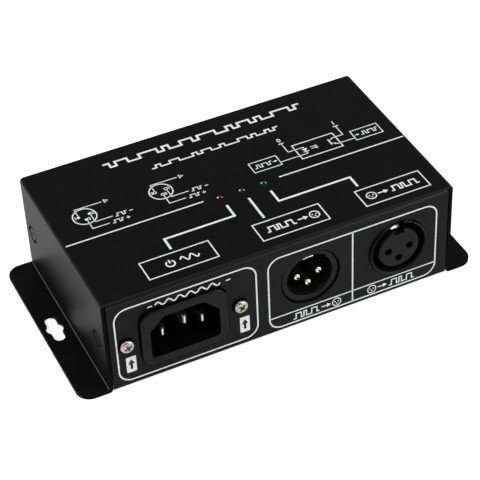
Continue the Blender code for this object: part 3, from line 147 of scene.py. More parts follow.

# Lamps; a painted glint's bottom and top lie below the lens's top, in shares of how far the lens falls off
# there
LAMP_RADIUS = 1.66 * MM
LAMP_CURVE = 4.5 * MM
LAMP_FLANGE_RADIUS = 1.9 * MM
LAMP_FLANGE_HEIGHT = 1.0 * MM
LAMP_LENGTH = 5.3 * MM
LEAD_RADIUS = 0.25 * MM
LEAD_PITCH = 2.54 * MM
GLINT_RADIUS = 0.33 * MM
GLINT_REACH = 0.66 * MM
GLINT_TURN = -17.7
GLINT_DIPS = (4, 0.6)

LAMPS = {"power_lamp": "red", "input_lamp": "green", "output_lamp": "green"}


# Materials

# Size of the spots, size of the grain and height of the grain, in millimetres
PAINT_GRAIN = (9.0, 0.22, 0.004)
SKIN_GRAIN = (4.0, 0.12, 0.003)

# Colour, second colour, roughness from and to, metallic, specular level, then sizes as above
FINISHES = {
    "case_paint": ((0.0033, 0.0033, 0.0037), (0.0047, 0.0047, 0.0052), 0.37, 0.45, 0, 0.065, *PAINT_GRAIN),
    # a pale painted highlight along each ear's bend
    "painted_bend_highlight": ((0.055, 0.055, 0.058), (0.085, 0.085, 0.089), 0.34, 0.46, 0, 0.2, *PAINT_GRAIN),
    "paint_edge": ((0.0036, 0.0036, 0.0039), (0.005, 0.005, 0.0054), 0.25, 0.31, 0, 0.15, *PAINT_GRAIN),
    # black that is painted shade: the cover's seams, the inlet round its rim, and screw rims
    "painted_shade_black": ((0.0012, 0.0012, 0.0013), (0.002, 0.002, 0.0021), 0.5, 0.62, 0, 0.02, *SKIN_GRAIN),
    "screw_black": ((0.005, 0.005, 0.006), (0.01, 0.01, 0.011), 0.26, 0.4, 0, 0.07, 1.5, 0.15, 0.002),
    "plastic_black": ((0.0036, 0.0036, 0.0038), (0.0052, 0.0052, 0.0055), 0.32, 0.44, 0, 0.085, *SKIN_GRAIN),
    "ink_white": ((0.59, 0.6, 0.61), (0.7, 0.71, 0.71), 0.45, 0.6, 0, 0.3, 1.2, 0.1, 0.002),
    "ink_black": ((0.01, 0.01, 0.011), (0.014, 0.014, 0.015), 0.45, 0.6, 0, 0.1, 1.2, 0.1, 0.002),
    "steel_bright": ((0.46, 0.41, 0.36), (0.28, 0.24, 0.2), 0.16, 0.34, 1, 0.5, 1.2, 0.1, 0.004),
    "steel_blade": ((0.6, 0.54, 0.41), (0.46, 0.41, 0.3), 0.22, 0.36, 1, 0.5, 1.8, 0.1, 0.003),
    # painted highlights on the lamps' lenses, a bright one and a dim one
    "painted_glint_bright": ((0.7, 0.7, 0.67), (0.56, 0.56, 0.54), 0.3, 0.45, 0, 0.5, 0.5, 0.1, 0.001),
    "painted_glint_dim": ((0.2, 0.21, 0.2), (0.28, 0.29, 0.28), 0.3, 0.45, 0, 0.5, 0.5, 0.1, 0.001),
    # painted shade in recesses: warm in the steel screws' crosses, dark in the black screws' crosses and the
    # pins' holes
    "painted_warm_recess_shade": ((0.16, 0.115, 0.065), (0.34, 0.26, 0.17), 0.3, 0.45, 1, 0.5, 0.6, 0.1, 0.003),
    "painted_recess_shade": ((0.02, 0.014, 0.009), (0.034, 0.024, 0.015), 0.4, 0.55, 0, 0.2, 0.8, 0.1, 0.003),
    "steel_spring": ((0.88, 0.87, 0.84), (0.72, 0.71, 0.68), 0.14, 0.26, 1, 0.5, 2.0, 0.08, 0.002),
    # painted shade over the latch but a band of its lip
    "latch_painted_shade": ((0.018, 0.016, 0.014), (0.03, 0.027, 0.024), 0.35, 0.5, 0, 0.12, 2.0, 0.08, 0.002),
    "gold": ((0.92, 0.78, 0.56), (0.8, 0.62, 0.38), 0.16, 0.28, 1, 0.5, 1.4, 0.08, 0.002),
    "board": ((0.01, 0.11, 0.04), (0.02, 0.19, 0.075), 0.3, 0.45, 0, 0.5, 3.2, 0.3, 0.006),
    "nylon": ((0.74, 0.73, 0.68), (0.82, 0.81, 0.77), 0.42, 0.58, 0, 0.4, 2.0, 0.15, 0.004),
    "moulding_black": ((0.022, 0.022, 0.024), (0.036, 0.036, 0.038), 0.48, 0.62, 0, 0.4, 2.5, 0.12, 0.006),
    "terminal_green": ((0.035, 0.29, 0.095), (0.06, 0.38, 0.14), 0.38, 0.52, 0, 0.45, 2.5, 0.15, 0.004),
    "sleeve_blue": ((0.03, 0.055, 0.17), (0.05, 0.085, 0.23), 0.28, 0.4, 0, 0.5, 3.0, 0.2, 0.004),
    "wire_brown": ((0.16, 0.06, 0.022), (0.23, 0.095, 0.04), 0.4, 0.52, 0, 0.45, 2.5, 0.2, 0.004),
    "wire_blue": ((0.02, 0.095, 0.38), (0.04, 0.15, 0.5), 0.4, 0.52, 0, 0.45, 2.5, 0.2, 0.004),
    "wire_green": ((0.08, 0.35, 0.045), (0.52, 0.5, 0.03), 0.4, 0.52, 0, 0.45, 6.0, 0.2, 0.004),
}

# A lamp's colour and deep colour
LENSES = {
    "red": ((0.045, 0.0012, 0.0045), (0.020, 0.0006, 0.0022)),
    "green": ((0.0016, 0.030, 0.018), (0.0008, 0.013, 0.009)),
}

# The stretch of a noise's values that a change is spread over
SPOT_SPAN = (0.3, 0.7)
GRAIN_SPAN = (0.25, 0.75)
CLEAR_SPAN = (0.2, 0.8)


def fill(tree, node, **values):
    """Links or sets a node's sockets and its settings; a socket's name has _ for each space."""
    for name, value in values.items():
        socket = node.inputs.get(name.replace("_", " "))
        if socket is None:
            setattr(node, name, value)
        elif isinstance(value, bpy.types.NodeSocket):
            tree.links.new(value, socket)
        else:
            socket.default_value = value
    return node


def add_node(tree, kind, **values):
    return fill(tree, tree.nodes.new(kind), **values)


def noise(tree, place, size, detail=3.0):
    """Noise whose spots are about size metres across."""
    node = add_node(tree, "ShaderNodeTexNoise", Vector=place, Scale=1.0 / size, Detail=detail, Roughness=0.55)
    return node.outputs["Factor" if "Factor" in node.outputs else "Fac"]


def spread(tree, factor, low, high, out_low=0.0, out_high=1.0):
    """The factor's span from low to high, stretched to a new span."""
    spans = {"From_Min": low, "From_Max": high, "To_Min": out_low, "To_Max": out_high}
    return add_node(tree, "ShaderNodeMapRange", Value=factor, **spans).outputs["Result"]


def mixed_colour(tree, factor, first, second):
    node = add_node(tree, "ShaderNodeMix", data_type="RGBA", Factor=factor)
    colours = [socket for socket in node.inputs if socket.type == "RGBA"]
    colours[0].default_value = (*first, 1.0)
    colours[1].default_value = (*second, 1.0)
    return [socket for socket in node.outputs if socket.type == "RGBA"][0]


def new_material(name):
    """A material with its nodes, its shader, and the place on the object that its noise goes by."""
    material = bpy.data.materials.new(name)
    material.use_nodes = True
    tree = material.node_tree
    place = add_node(tree, "ShaderNodeTexCoord").outputs["Object"]
    return material, tree, tree.nodes["Principled BSDF"], place


def finish(name):
    """The named material: two colours in soft spots, and a fine grain in the roughness and the bump."""
    material = bpy.data.materials.get(name)
    if material:
        return material
    first, second, smooth_side, rough_side, metallic, specular, spot, grain, height = FINISHES[name]
    material, tree, shader, place = new_material(name)
    spots = noise(tree, place, spot * MM)
    fine = noise(tree, place, grain * MM, detail=2.0)
    bump = add_node(tree, "ShaderNodeBump", Strength=1.0, Distance=height * MM, Height=fine)
    fill(
        tree, shader, Metallic=metallic, Specular_IOR_Level=specular,
        Base_Color=mixed_colour(tree, spread(tree, spots, *SPOT_SPAN), first, second),
        Roughness=spread(tree, fine, *GRAIN_SPAN, smooth_side, rough_side),
        Normal=bump.outputs["Normal"],
    )
    return material


def lens_finish(name, colour, deep):
    """A tinted lens that is not lit: dark, with soft spots under a glossy skin."""
    material, tree, shader, place = new_material(name)
    core = noise(tree, place, size=0.9 * MM, detail=1.0)
    fill(
        tree, shader, Specular_IOR_Level=0.4,
        Base_Color=mixed_colour(tree, spread(tree, core, *SPOT_SPAN), deep, colour),
        Roughness=spread(tree, core, *CLEAR_SPAN, out_low=0.05, out_high=0.10),
    )
    return material


def glass_finish(name):
    """Clear glass with faint bands."""
    material, tree, shader, place = new_material(name)
    bands = noise(tree, place, size=2.0 * MM, detail=1.0)
    fill(
        tree, shader, Transmission_Weight=0.7,
        Base_Color=mixed_colour(tree, bands, first=(0.70, 0.76, 0.76), second=(0.82, 0.87, 0.87)),
        Roughness=spread(tree, bands, *CLEAR_SPAN, out_low=0.04, out_high=0.12),
    )
    return material


# Outlines, as lists of (u, v) points


def arc(centre, radius, start, end, steps):
    """Points on an arc, both ends included; angles in degrees."""
    points = []
    for step in range(steps + 1):
        angle = math.radians(start + (end - start) * step / steps)
        points.append((centre[0] + radius * math.cos(angle), centre[1] + radius * math.sin(angle)))
    return points


def circle(radius, steps, centre=(0.0, 0.0)):
    return arc(centre, radius, 0, 360 - 360 / steps, steps - 1)


def box_outline(low, high):
    """The corners of a rectangle from its low to its high corner."""
    return [low, (high[0], low[1]), high, (low[0], high[1])]


def rounded_box(low, high, corner, steps=8):
    """A rectangle from its low to its high corner, its four corners rounded."""
    left, bottom = low[0] + corner, low[1] + corner
    right, top = high[0] - corner, high[1] - corner
    points = []
    for quarter, centre in enumerate(((right, top), (left, top), (left, bottom), (right, bottom))):
        points += arc(centre, corner, 90 * quarter, 90 * quarter + 90, steps)
    return points


# Solids

SPACE = {
    "x": lambda u, v, w: (w, u, v),
    "y": lambda u, v, w: (u, w, v),
    "z": lambda u, v, w: (u, v, w),
}


def middle(node, **given):
    """The middle of a CAD node's box, with the coordinates that are given in place of its own."""
    low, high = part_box(node)
    place = (low + high) / 2
    for axis, value in given.items():
        setattr(place, axis, value)
    return place


def add_object(name, data):
    """An object in the scene that shows the data."""
    item = bpy.data.objects.new(name, data)
    bpy.context.collection.objects.link(item)
    return item


def new_mesh(name, shape, material):
    """A mesh from a bmesh, with its faces turned outwards; the bmesh is used up."""
    bmesh.ops.recalc_face_normals(shape, faces=shape.faces)
    mesh = bpy.data.meshes.new(name)
    shape.to_mesh(mesh)
    shape.free()
    mesh.materials.append(material)
    return mesh


def add_piece(name, shape, material, body="case", edge=None):
    """A piece from a bmesh in the case's own space, riding on a body; edge is the width of its rounds."""
    item = add_object(name, new_mesh(name, shape, material))
    if edge:
        item.data.shade_smooth()
        add_edges(item, edge)
    else:
        smooth(item)
    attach(item, body)
    return item


def stand_in(node, shape, material, body="case", edge=None):
    """A piece that is shown in place of a CAD node."""
    item = add_piece(f"{node}_surface", shape, material, body, edge)
    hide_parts(node)
    return item


def smooth(item):
    """Shades the rounds smooth and leaves the edges sharp."""
    item.data.shade_smooth()
    item.data.set_sharp_from_angle(angle=math.radians(EDGE_ANGLE))


def add_edges(item, width):
    """Rounds the edges and keeps the flats flat."""
    bevel = item.modifiers.new("edges", "BEVEL")
    bevel.width = width
    bevel.segments = 3
    bevel.limit_method = "ANGLE"
    bevel.angle_limit = math.radians(EDGE_ANGLE)
    bevel.miter_outer = "MITER_ARC"
    normals = item.modifiers.new("flats", "WEIGHTED_NORMAL")
    normals.keep_sharp = True


def joined_faces(node):
    """A bmesh of a CAD node, its flat faces whole again."""
    shape = bmesh.new()
    shape.from_mesh(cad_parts[node].data)
    bmesh.ops.remove_doubles(shape, verts=shape.verts, dist=0.002 * MM)
    bmesh.ops.dissolve_limit(shape, angle_limit=math.radians(0.4), verts=shape.verts, edges=shape.edges)
    return shape


def part_ends(shape, height):
    """Parts the faces that look along Y at a height."""
    shape.normal_update()
    ends = [face for face in shape.faces if abs(face.normal.y) > SQUARE_ON]
    edges = {edge for face in ends for edge in face.edges}
    corners = {corner for face in ends for corner in face.verts}
    bmesh.ops.bisect_plane(shape, geom=ends + list(edges) + list(corners), dist=0.001 * MM,
                           plane_co=(0.0, 0.0, height), plane_no=(0.0, 0.0, 1.0))


def round_top(shape, low, high, radius):
    """Rounds the top edges that lie on the front and on the back of a box."""
    near = 0.01 * MM
    edges = []
    for edge in shape.edges:
        places = [corner.co for corner in edge.verts]
        at_top = all(high.z - place.z < near for place in places)
        at_front = all(place.y - low.y < near for place in places)
        at_back = all(high.y - place.y < near for place in places)
        if at_top and (at_front or at_back):
            edges.append(edge)
    bmesh.ops.bevel(shape, geom=edges, offset=radius, offset_type="OFFSET", segments=5, profile=0.5,
                    affect="EDGES")


def soften(node, material, edge, parted=None, rounded=None):
    """Stands for a CAD node with softer edges; its ends may be parted at a height and its top rounded."""
    shape = joined_faces(node)
    if parted:
        part_ends(shape, parted)
    if rounded:
        round_top(shape, *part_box(node), rounded)
    return stand_in(node, shape, finish(material), edge=edge)


def add_ring(shape, outline, axis, distance, shift):
    """New corners along an outline, at a distance along an axis."""
    return [shape.verts.new(Vector(SPACE[axis](u, v, distance)) + Vector(shift)) for u, v in outline]


def wall(shape, low, high):
    """Faces between two rings of corners; where corners fall together a face has three."""
    for index in range(len(low)):
        following = (index + 1) % len(low)
        corners = (low[index], low[following], high[following], high[index])
        shape.faces.new(list(dict.fromkeys(corners)))


def enclose(shape, rings):
    """A face over the first ring and over the last, and a wall from each ring to the next."""
    shape.faces.new(rings[0])
    shape.faces.new(rings[-1])
    for low, high in zip(rings, rings[1:]):
        wall(shape, low, high)


def stack(sections, axis, shape=None, shift=(0.0, 0.0, 0.0)):
    """A solid through outlines at rising distances along an axis; each section is (outline, distance)."""
    shape = shape or bmesh.new()
    enclose(shape, [add_ring(shape, outline, axis, distance, shift) for outline, distance in sections])
    return shape


def turned(profile, axis, shift=(0.0, 0.0, 0.0)):
    """A solid of revolution; the profile's (radius, distance) points start and end on the axis."""
    shape = bmesh.new()
    rings = []
    for radius, distance in profile:
        if radius:
            rings.append(add_ring(shape, circle(radius, ROUND), axis, distance, shift))
        else:
            rings.append(add_ring(shape, [(0.0, 0.0)], axis, distance, shift) * ROUND)
    for low, high in zip(rings, rings[1:]):
        wall(shape, low, high)
    return shape


def add_tube(shape, route, radius, sides):
    """Adds a closed round tube along points that lie in one plane across X."""
    rings = []
    across = Vector((1.0, 0.0, 0.0))
    for index, point in enumerate(route):
        along = (route[min(index + 1, len(route) - 1)] - route[max(index - 1, 0)]).normalized()
        upwards = along.cross(across)
        rings.append([shape.verts.new(point + across * u + upwards * v) for u, v in circle(radius, sides)])
    enclose(shape, rings)


def final_mesh(item):
    """The mesh that an object shows."""
    bpy.context.view_layer.update()
    return bpy.data.meshes.new_from_object(item.evaluated_get(bpy.context.evaluated_depsgraph_get()))


def carve(item, shape, material):
    """Cuts a shape away from a piece that has no modifiers; the cut faces get the material."""
    tool = add_object("tool", new_mesh("tool", shape, material))
    cut = item.modifiers.new("cut", "BOOLEAN")
    cut.operation = "DIFFERENCE"
    cut.solver = "EXACT"
    cut.material_mode = "TRANSFER"
    cut.object = tool
    mesh = final_mesh(item)
    item.modifiers.remove(cut)
    item.data = mesh
    bpy.data.objects.remove(tool, do_unlink=True)


def recolour(item, material, chosen):
    """Gives another material to the faces that are chosen by their centre and normal."""
    item.data.materials.append(material)
    for face in item.data.polygons:
        if chosen(face.center, face.normal):
            face.material_index = len(item.data.materials) - 1


# Screws


def thread(length):
    """The profile of a threaded shank, from its end up to just below the head."""
    root = THREAD_RADIUS - THREAD_DEPTH
    profile = [(0.0, -length), (root, -length)]
    for turn in range(int((length - THREAD_START) / THREAD_PITCH)):
        distance = -length + THREAD_PITCH * (turn + 0.5)
        profile += [(THREAD_RADIUS, distance), (root, distance + THREAD_PITCH / 2)]
    return profile


def cross_recess(top, turn):
    """The two bars, narrower at the bottom, that cut a cross into a face at top."""
    bars = []
    for angle in (turn, turn + 90):
        sections = []
        for (longer, wider), distance in ((RECESS_BOTTOM, top - RECESS_DEPTH), ((1, 1), top + RECESS_ABOVE)):
            u, v = RECESS_LENGTH / 2 * longer, RECESS_WIDTH / 2 * wider
            sections.append((box_outline((-u, -v), (u, v)), distance))
        bar = stack(sections, "z")
        bmesh.ops.rotate(bar, verts=bar.verts, matrix=Matrix.Rotation(math.radians(angle), 3, "Z"))
        bars.append(bar)
    return bars


def add_screw(node, kind, length, turn, pose):
    """A screw with a cross recess, made along Z and then moved by pose; its recess and its rim are painted in
    shade.
    """
    head, top, rim, material, slot, deep = kind
    screw = stand_in(node, turned(thread(length) + head, "z"), finish(material))
    for bar in cross_recess(top, turn):
        carve(screw, bar, finish(deep))
    recolour(screw, finish("painted_shade_black"), lambda centre, _: centre.xy.length > rim and centre.z > -RIM_REACH)
    screw.data.transform(pose)
    smooth(screw)


def pan_head():
    """Profile of a pan head from its underside at 0 to its domed top."""
    profile = [(THREAD_RADIUS, 0.0), (PAN_HEAD_RADIUS - PAN_HEAD_RIM, 0.0), (PAN_HEAD_RADIUS, PAN_HEAD_RIM)]
    profile.append((PAN_HEAD_RADIUS, PAN_DOME_START - PAN_HEAD_RIM))
    for step in range(PAN_DOME_STEPS):
        angle = math.radians(90 * step / PAN_DOME_STEPS)
        radius = PAN_DOME_RADIUS * math.cos(angle) ** PAN_DOME_POWER
        profile.append((radius, PAN_DOME_START + (PAN_DOME_TOP - PAN_DOME_START) * math.sin(angle)))
    return profile + [(0.0, PAN_DOME_TOP)]


def flat_head():
    """Profile of a countersunk head: a cone, a groove round the face, and the flat face at 0."""
    groove, rim = -FLAT_GROOVE_DEPTH, FLAT_HEAD_RIM
    outer, inner, face = FLAT_HEAD_RADIUS, FLAT_HEAD_RADIUS - rim, FLAT_FACE_RADIUS
    profile = [(THREAD_RADIUS, THREAD_RADIUS - outer), (outer, groove), (outer, -rim / 2)]
    profile += [(inner, -rim / 2), (inner, groove), (face, groove), (face, -rim), (face - rim, 0.0)]
    return profile + [(0.0, 0.0)]


def build_screws():
    """Inlet screws face the front, board screws face up and cover screws face out of the sides."""
    # profile, level of the face, radius where the painted shade starts, finish, slot and the recess's finish
    # of painted shade
    pan = (pan_head(), PAN_DOME_TOP, PAN_DOME_RADIUS, "steel_bright", "bright_steel", "painted_warm_recess_shade")
    shade_start = FLAT_FACE_RADIUS - FLAT_FACE_SHADE
    flat = (flat_head(), 0.0, shade_start, "screw_black", "black_screw", "painted_recess_shade")
    for node, turn in INLET_SCREW_TURNS.items():
        low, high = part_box(node)
        place = middle(node, y=low.y + PAN_HEAD_HEIGHT)
        pose = Matrix.Translation(place) @ Matrix.Rotation(math.pi / 2, 4, "X")
        add_screw(node, pan, high.y - place.y, turn, pose)
    for number in range(1, 5):
        node = f"board_screw_{number}"
        low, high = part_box(node)
        place = middle(node, z=high.z - PAN_HEAD_HEIGHT)
        add_screw(node, pan, place.z - low.z, BOARD_SCREW_TURN * number, Matrix.Translation(place))
    for side_name, side in (("left", -1), ("right", 1)):
        for end_name, turn in COVER_SCREW_TURNS.items():
            node = f"cover_screw_{side_name}_{end_name}"
            low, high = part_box(node)
            place = middle(node, x=high.x if side > 0 else low.x)
            pose = Matrix.Translation(place) @ Matrix.Rotation(side * math.pi / 2, 4, "Y")
            add_screw(node, flat, high.x - low.x, turn, pose)


# Contacts of the data sockets


def add_tail(shape, node, start):
    """Adds a contact's tail, from inside the contact back along Y and down through the board."""
    low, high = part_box(node)
    drop = high.y - TAIL_RADIUS
    bend = arc((drop - TAIL_BEND, start.z - TAIL_BEND), TAIL_BEND, 90, 0, steps=8)
    route = [start] + [Vector((start.x, along, upwards)) for along, upwards in bend]
    add_tube(shape, route + [Vector((start.x, drop, low.z))], TAIL_RADIUS, sides=16)


def add_contact(node, carrier, radius, tip, hole=None):
    """A contact from its tip's profile to just behind its carrier, with its tail and, for a pin, its hole."""
    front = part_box(node)[0].y
    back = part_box(carrier)[1].y + CONTACT_BEHIND
    place = middle(node, y=0.0, z=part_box(node)[1].z - radius)
    profile = [(reach, front + distance) for reach, distance in tip] + [(radius, back), (0.0, back)]
    shape = turned(profile, "y", place)
    add_tail(shape, node, Vector((place.x, back - TAIL_INSIDE, place.z)))
    contact = stand_in(node, shape, finish("gold"))
    if hole:
        outline = circle(hole, ROUND // 2)
        ends = (front - PIN_HOLE_DEPTH, front + PIN_HOLE_DEPTH)
        drill = stack([(outline, end) for end in ends], "y", shift=place)
        # the pin's hole is painted in shade
        carve(contact, drill, finish("painted_recess_shade"))
        smooth(contact)


def pin_tip():
    """Profile of a pin's rounded nose, from its point at 0."""
    tip = [(0.0, 0.0)]
    for along, across in arc((0.0, 0.0), 1.0, start=12, end=90, steps=8):
        tip.append((PIN_RADIUS * (PIN_FLAT + (1 - PIN_FLAT) * across), PIN_NOSE * (1.0 - along)))
    return tip


def hollow_tip():
    """Profile of a hollow contact, from the end of its bore to its mouth at 0 and round its lip."""
    bore, lip = CONTACT_BORE_RADIUS, CONTACT_LIP
    tip = [(0.0, CONTACT_BORE_DEPTH), (bore, CONTACT_BORE_DEPTH), (bore, lip), (bore + lip, 0.0)]
    return tip + [(CONTACT_RADIUS - lip, 0.0), (CONTACT_RADIUS, lip)]


def build_contacts():
    """Rolled pins with a hole in the tip in the input socket, hollow contacts in the output socket."""
    for number in range(1, 4):
        node = f"data_input_pin_{number}"
        add_contact(node, "data_input_carrier", PIN_RADIUS, pin_tip(), PIN_HOLE_RADIUS)
    for number in range(1, 4):
        add_contact(f"data_output_contact_{number}", "data_output_carrier", CONTACT_RADIUS, hollow_tip())


def build_earth_strip():
    """The thin spring inside the input socket's mouth that touches a plug's shell."""
    start, end = STRIP_ARC
    outline = arc((0.0, 0.0), STRIP_OUTER, start, end, steps=10)
    outline += arc((0.0, 0.0), STRIP_INNER, end, start, steps=10)
    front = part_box("data_input_housing")[0].y + STRIP_DEPTH
    sections = [(outline, front), (outline, front + STRIP_LENGTH)]
    shape = stack(sections, "y", shift=middle("data_input_housing", y=0.0))
    add_piece("data_input_earth_strip", shape, finish("steel_spring"), edge=METAL_EDGE / 2)


# Lamps


def build_lamps():
    rim = 90 - math.degrees(math.asin(LAMP_RADIUS / LAMP_CURVE))
    for node, tint in LAMPS.items():
        name = f"lens_{tint}"
        material = bpy.data.materials.get(name) or lens_finish(name, *LENSES[tint])
        low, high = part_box(node)
        centre = middle(node)
        base = high.z - LAMP_LENGTH
        flange = base + LAMP_FLANGE_HEIGHT
        profile = [(0.0, base), (LAMP_FLANGE_RADIUS, base), (LAMP_FLANGE_RADIUS, flange)]
        profile.append((LAMP_RADIUS, flange))
        profile += arc((0.0, high.z - LAMP_CURVE), LAMP_CURVE, rim, end=88, steps=12)
        shape = turned(profile + [(0.0, high.z)], "z", (centre.x, centre.y, 0.0))
        for side in (-1, 1):
            lead = circle(LEAD_RADIUS, 12, (centre.x + side * LEAD_PITCH / 2, centre.y))
            stack([(lead, low.z), (lead, base + LAMP_FLANGE_HEIGHT / 2)], "z", shape)
        stand_in(node, shape, material)
        add_lamp_glints(node, centre, high.z)


def add_lamp_glints(node, centre, top):
    """Two pale discs on a lens that are painted highlights, one bright and one dim."""
    turn = math.radians(GLINT_TURN)
    dip = LAMP_CURVE - math.sqrt(LAMP_CURVE ** 2 - GLINT_REACH ** 2)
    for side, name in ((-1, "painted_glint_bright"), (1, "painted_glint_dim")):
        reach = side * GLINT_REACH
        place = (centre.x + reach * math.cos(turn), centre.y + reach * math.sin(turn))
        disc = circle(GLINT_RADIUS, 20, place)
        shape = stack([(disc, top - share * dip) for share in GLINT_DIPS], "z")
        add_piece(f"{node}_{name}", shape, finish(name))


# Print. Each shape is drawn on a face, in millimetres along u and v.

# A digit's height as a share of the typeface's size, and its thickening as a share of its height
DIGIT_SHARE = 0.69
DIGIT_BOLD = 0.02

# Half the width of an arrow's point, in shares of its length
ARROW_BARB = 0.6


class Print:
    """White or black ink on one flat face: the top, or the front."""

    def __init__(self, name, face, material="ink_white", height=INK_HEIGHT):
        self.name = name
        self.face = face
        self.material = material
        self.height = height
        self.shape = bmesh.new()

    def point(self, u, v, proud):
        if self.face == "top":
            return Vector((u * MM, v * MM, TOP + proud))
        return Vector((u * MM, FRONT - proud, v * MM))

    def area(self, outline):
        """A filled outline."""
        rings = []
        for proud in (-INK_SUNK, self.height):
            rings.append([self.shape.verts.new(self.point(u, v, proud)) for u, v in outline])
        enclose(self.shape, rings)

    def line(self, points, width, closed=False):
        """A line of one width with mitred corners, open or closed."""
        count = len(points)
        rails = []
        for index, (u, v) in enumerate(points):
            before = points[index - 1] if closed or index else None
            after = points[(index + 1) % count] if closed or index + 1 < count else None
            normals = []
            for start, end in ((before, (u, v)), ((u, v), after)):
                if start and end:
                    length = math.hypot(end[0] - start[0], end[1] - start[1])
                    normals.append(((start[1] - end[1]) / length, (end[0] - start[0]) / length))
            across_u = sum(normal[0] for normal in normals)
            across_v = sum(normal[1] for normal in normals)
            size = across_u * normals[0][0] + across_v * normals[0][1]
            across_u, across_v = across_u / size, across_v / size
            rail = []
            for side, proud in ((-1, -INK_SUNK), (1, -INK_SUNK), (1, self.height), (-1, self.height)):
                place = (u + side * across_u * width / 2, v + side * across_v * width / 2)
                rail.append(self.shape.verts.new(self.point(*place, proud)))
            rails.append(rail)
        if closed:
            for first, second in zip(rails, rails[1:] + rails[:1]):
                wall(self.shape, first, second)
        else:
            enclose(self.shape, rails)

    def ring(self, centre, radius, width, steps=48):
        self.line(circle(radius, steps, centre), width, closed=True)

    def dot(self, centre, radius, steps=20):
        self.area(circle(radius, steps, centre))

    def arrow(self, start, end, width, head):
        """A straight arrow; head is the length of its point."""
        length = math.hypot(end[0] - start[0], end[1] - start[1])
        along = ((end[0] - start[0]) / length, (end[1] - start[1]) / length)
        across = (-along[1], along[0])
        neck = (end[0] - along[0] * head, end[1] - along[1] * head)
        barb = head * ARROW_BARB
        corners = [(start, -width / 2), (neck, -width / 2), (neck, -barb), (end, 0.0)]
        corners += [(neck, barb), (neck, width / 2), (start, width / 2)]
        self.area([(u + across[0] * reach, v + across[1] * reach) for (u, v), reach in corners])

    def pulses(self, bits, start, cell, low, high, width):
        """A square wave, one cell for each bit."""
        level = {"0": low, "1": high}
        points = [(start, level[bits[0]])]
        for index in range(1, len(bits)):
            if bits[index] != bits[index - 1]:
                edge = start + index * cell
                points += [(edge, level[bits[index - 1]]), (edge, level[bits[index]])]
        points.append((start + len(bits) * cell, level[bits[-1]]))
        self.line(points, width)

    def digit(self, text, centre, height):
        """A plain number in the built-in typeface, upright about its centre."""
        curve = bpy.data.curves.new("digit", "FONT")
        curve.body = text
        curve.size = height / DIGIT_SHARE
        curve.offset = height * DIGIT_BOLD
        curve.align_x = "CENTER"
        curve.resolution_u = 4
        item = add_object("digit", curve)
        mesh = final_mesh(item)
        flat = bmesh.new()
        flat.from_mesh(mesh)
        bmesh.ops.remove_doubles(flat, verts=flat.verts, dist=0.001)
        grown = bmesh.ops.extrude_face_region(flat, geom=flat.faces[:])
        moved = {element for element in grown["geom"] if isinstance(element, bmesh.types.BMVert)}
        for vertex in flat.verts:
            u, v = centre[0] + vertex.co.x, centre[1] - height / 2 + vertex.co.y
            vertex.co = self.point(u, v, self.height if vertex in moved else -INK_SUNK)
        flat.to_mesh(mesh)
        flat.free()
        self.shape.from_mesh(mesh)
        bpy.data.objects.remove(item, do_unlink=True)

    def done(self):
        add_piece(self.name, self.shape, finish(self.material))


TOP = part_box("cover")[1].z
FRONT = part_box("base")[0].y

# Line widths, in millimetres
THICK = 0.82
MEDIUM = 0.52
THIN = 0.42
FINE_LINE = 0.34

# The rule across the top, its two parts as (x of each end, y)
RULES = [(-62.0, -13.4, -4.7), (14.4, 61.8, -4.9)]
LAMP_XS = (-7.5, 0.5, 8.6)
LAMP_LINES_START = -10.1
LAMP_LINES_LEVEL = -16.2
LAMP_LINES_END = -21.7
LABEL_LEADS = (-32.6, None, 35.0)
LABEL_BOXES = [
    ((-44.5, -32.1), (-20.5, -23.4)),
    ((-4.8, -32.2), (19.2, -23.5)),
    ((32.6, -32.4), (56.5, -23.8)),
]

# The pin plans: centre of each circle and whether its contacts are pins; all other places are from the centre
PIN_PLANS = [(-51.0, 6.7, True), (-23.7, 6.8, False)]
PLAN_RADIUS = 4.0
PLAN_CONTACTS = [(-2.1, 0.35), (2.0, 0.65), (0.0, -1.7)]
PLAN_DIGIT_SHIFT = 1.05
PIN_LEADS = [
    [(-1.9, 1.2), (-1.9, 4.6), (7.7, 4.5)],
    [(2.1, -0.2), (2.2, -4.1), (8.3, -4.1)],
    [(0.1, -2.5), (0.1, -7.0), (6.0, -7.0)],
]
PLAN_EARTH = (8.6, 4.5)

# The signals at the ends of two leads: where their pulses start, then how far on their minus or plus is
PLAN_MINUS = (9.1, -4.1)
PLAN_PLUS = (7.0, -7.0)
MINUS_SPAN = (5.0, 6.3)
PLUS_SHIFT = 5.6

# Pulses in place of title and subtitle, by piece: bits, span, low and high level, and width of line
PULSES = {
    "print_title_pulses": ("1011001110100110111001011010011101", (-35.6, 38.8), (26.9, 29.2), 0.8),
    "print_subtitle_pulses": ("0100110001011001000110100101", (-21.4, 26.4), (19.3, 20.8), 0.6),
}

# Signs. Their sizes are shares of a radius or a height.
SOCKET_DOTS = [(-0.42, 0.12), (0.42, 0.12), (0.0, -0.42)]
SOCKET_DOT = 0.17
POWER_BAR = (0.1, 1.3)
EARTH_BARS = (1.0, 0.62, 0.26)
EARTH_BAR_PITCH = 0.32
DATA_BITS = "0110100110"
DATA_CELL = 0.36
DATA_SWING = 0.8
DATA_HEAD = 0.55
DATA_SOCKET = 1.15
DATA_SOCKET_LINE = 0.8

# Along a data sign: the arrow's ends and the socket's centre past the pulses, or the socket's centre, the
# arrow's ends and the start of the pulses
DATA_IN = (0.3, 1.6, 2.4)
DATA_OUT = (0.5, 1.35, 2.65, 2.95)


def socket_sign(ink, centre, radius, width):
    """A circle with three dots, as a socket looks from its front."""
    ink.ring(centre, radius, width)
    for u, v in SOCKET_DOTS:
        ink.dot((centre[0] + u * radius, centre[1] + v * radius), radius * SOCKET_DOT, steps=12)


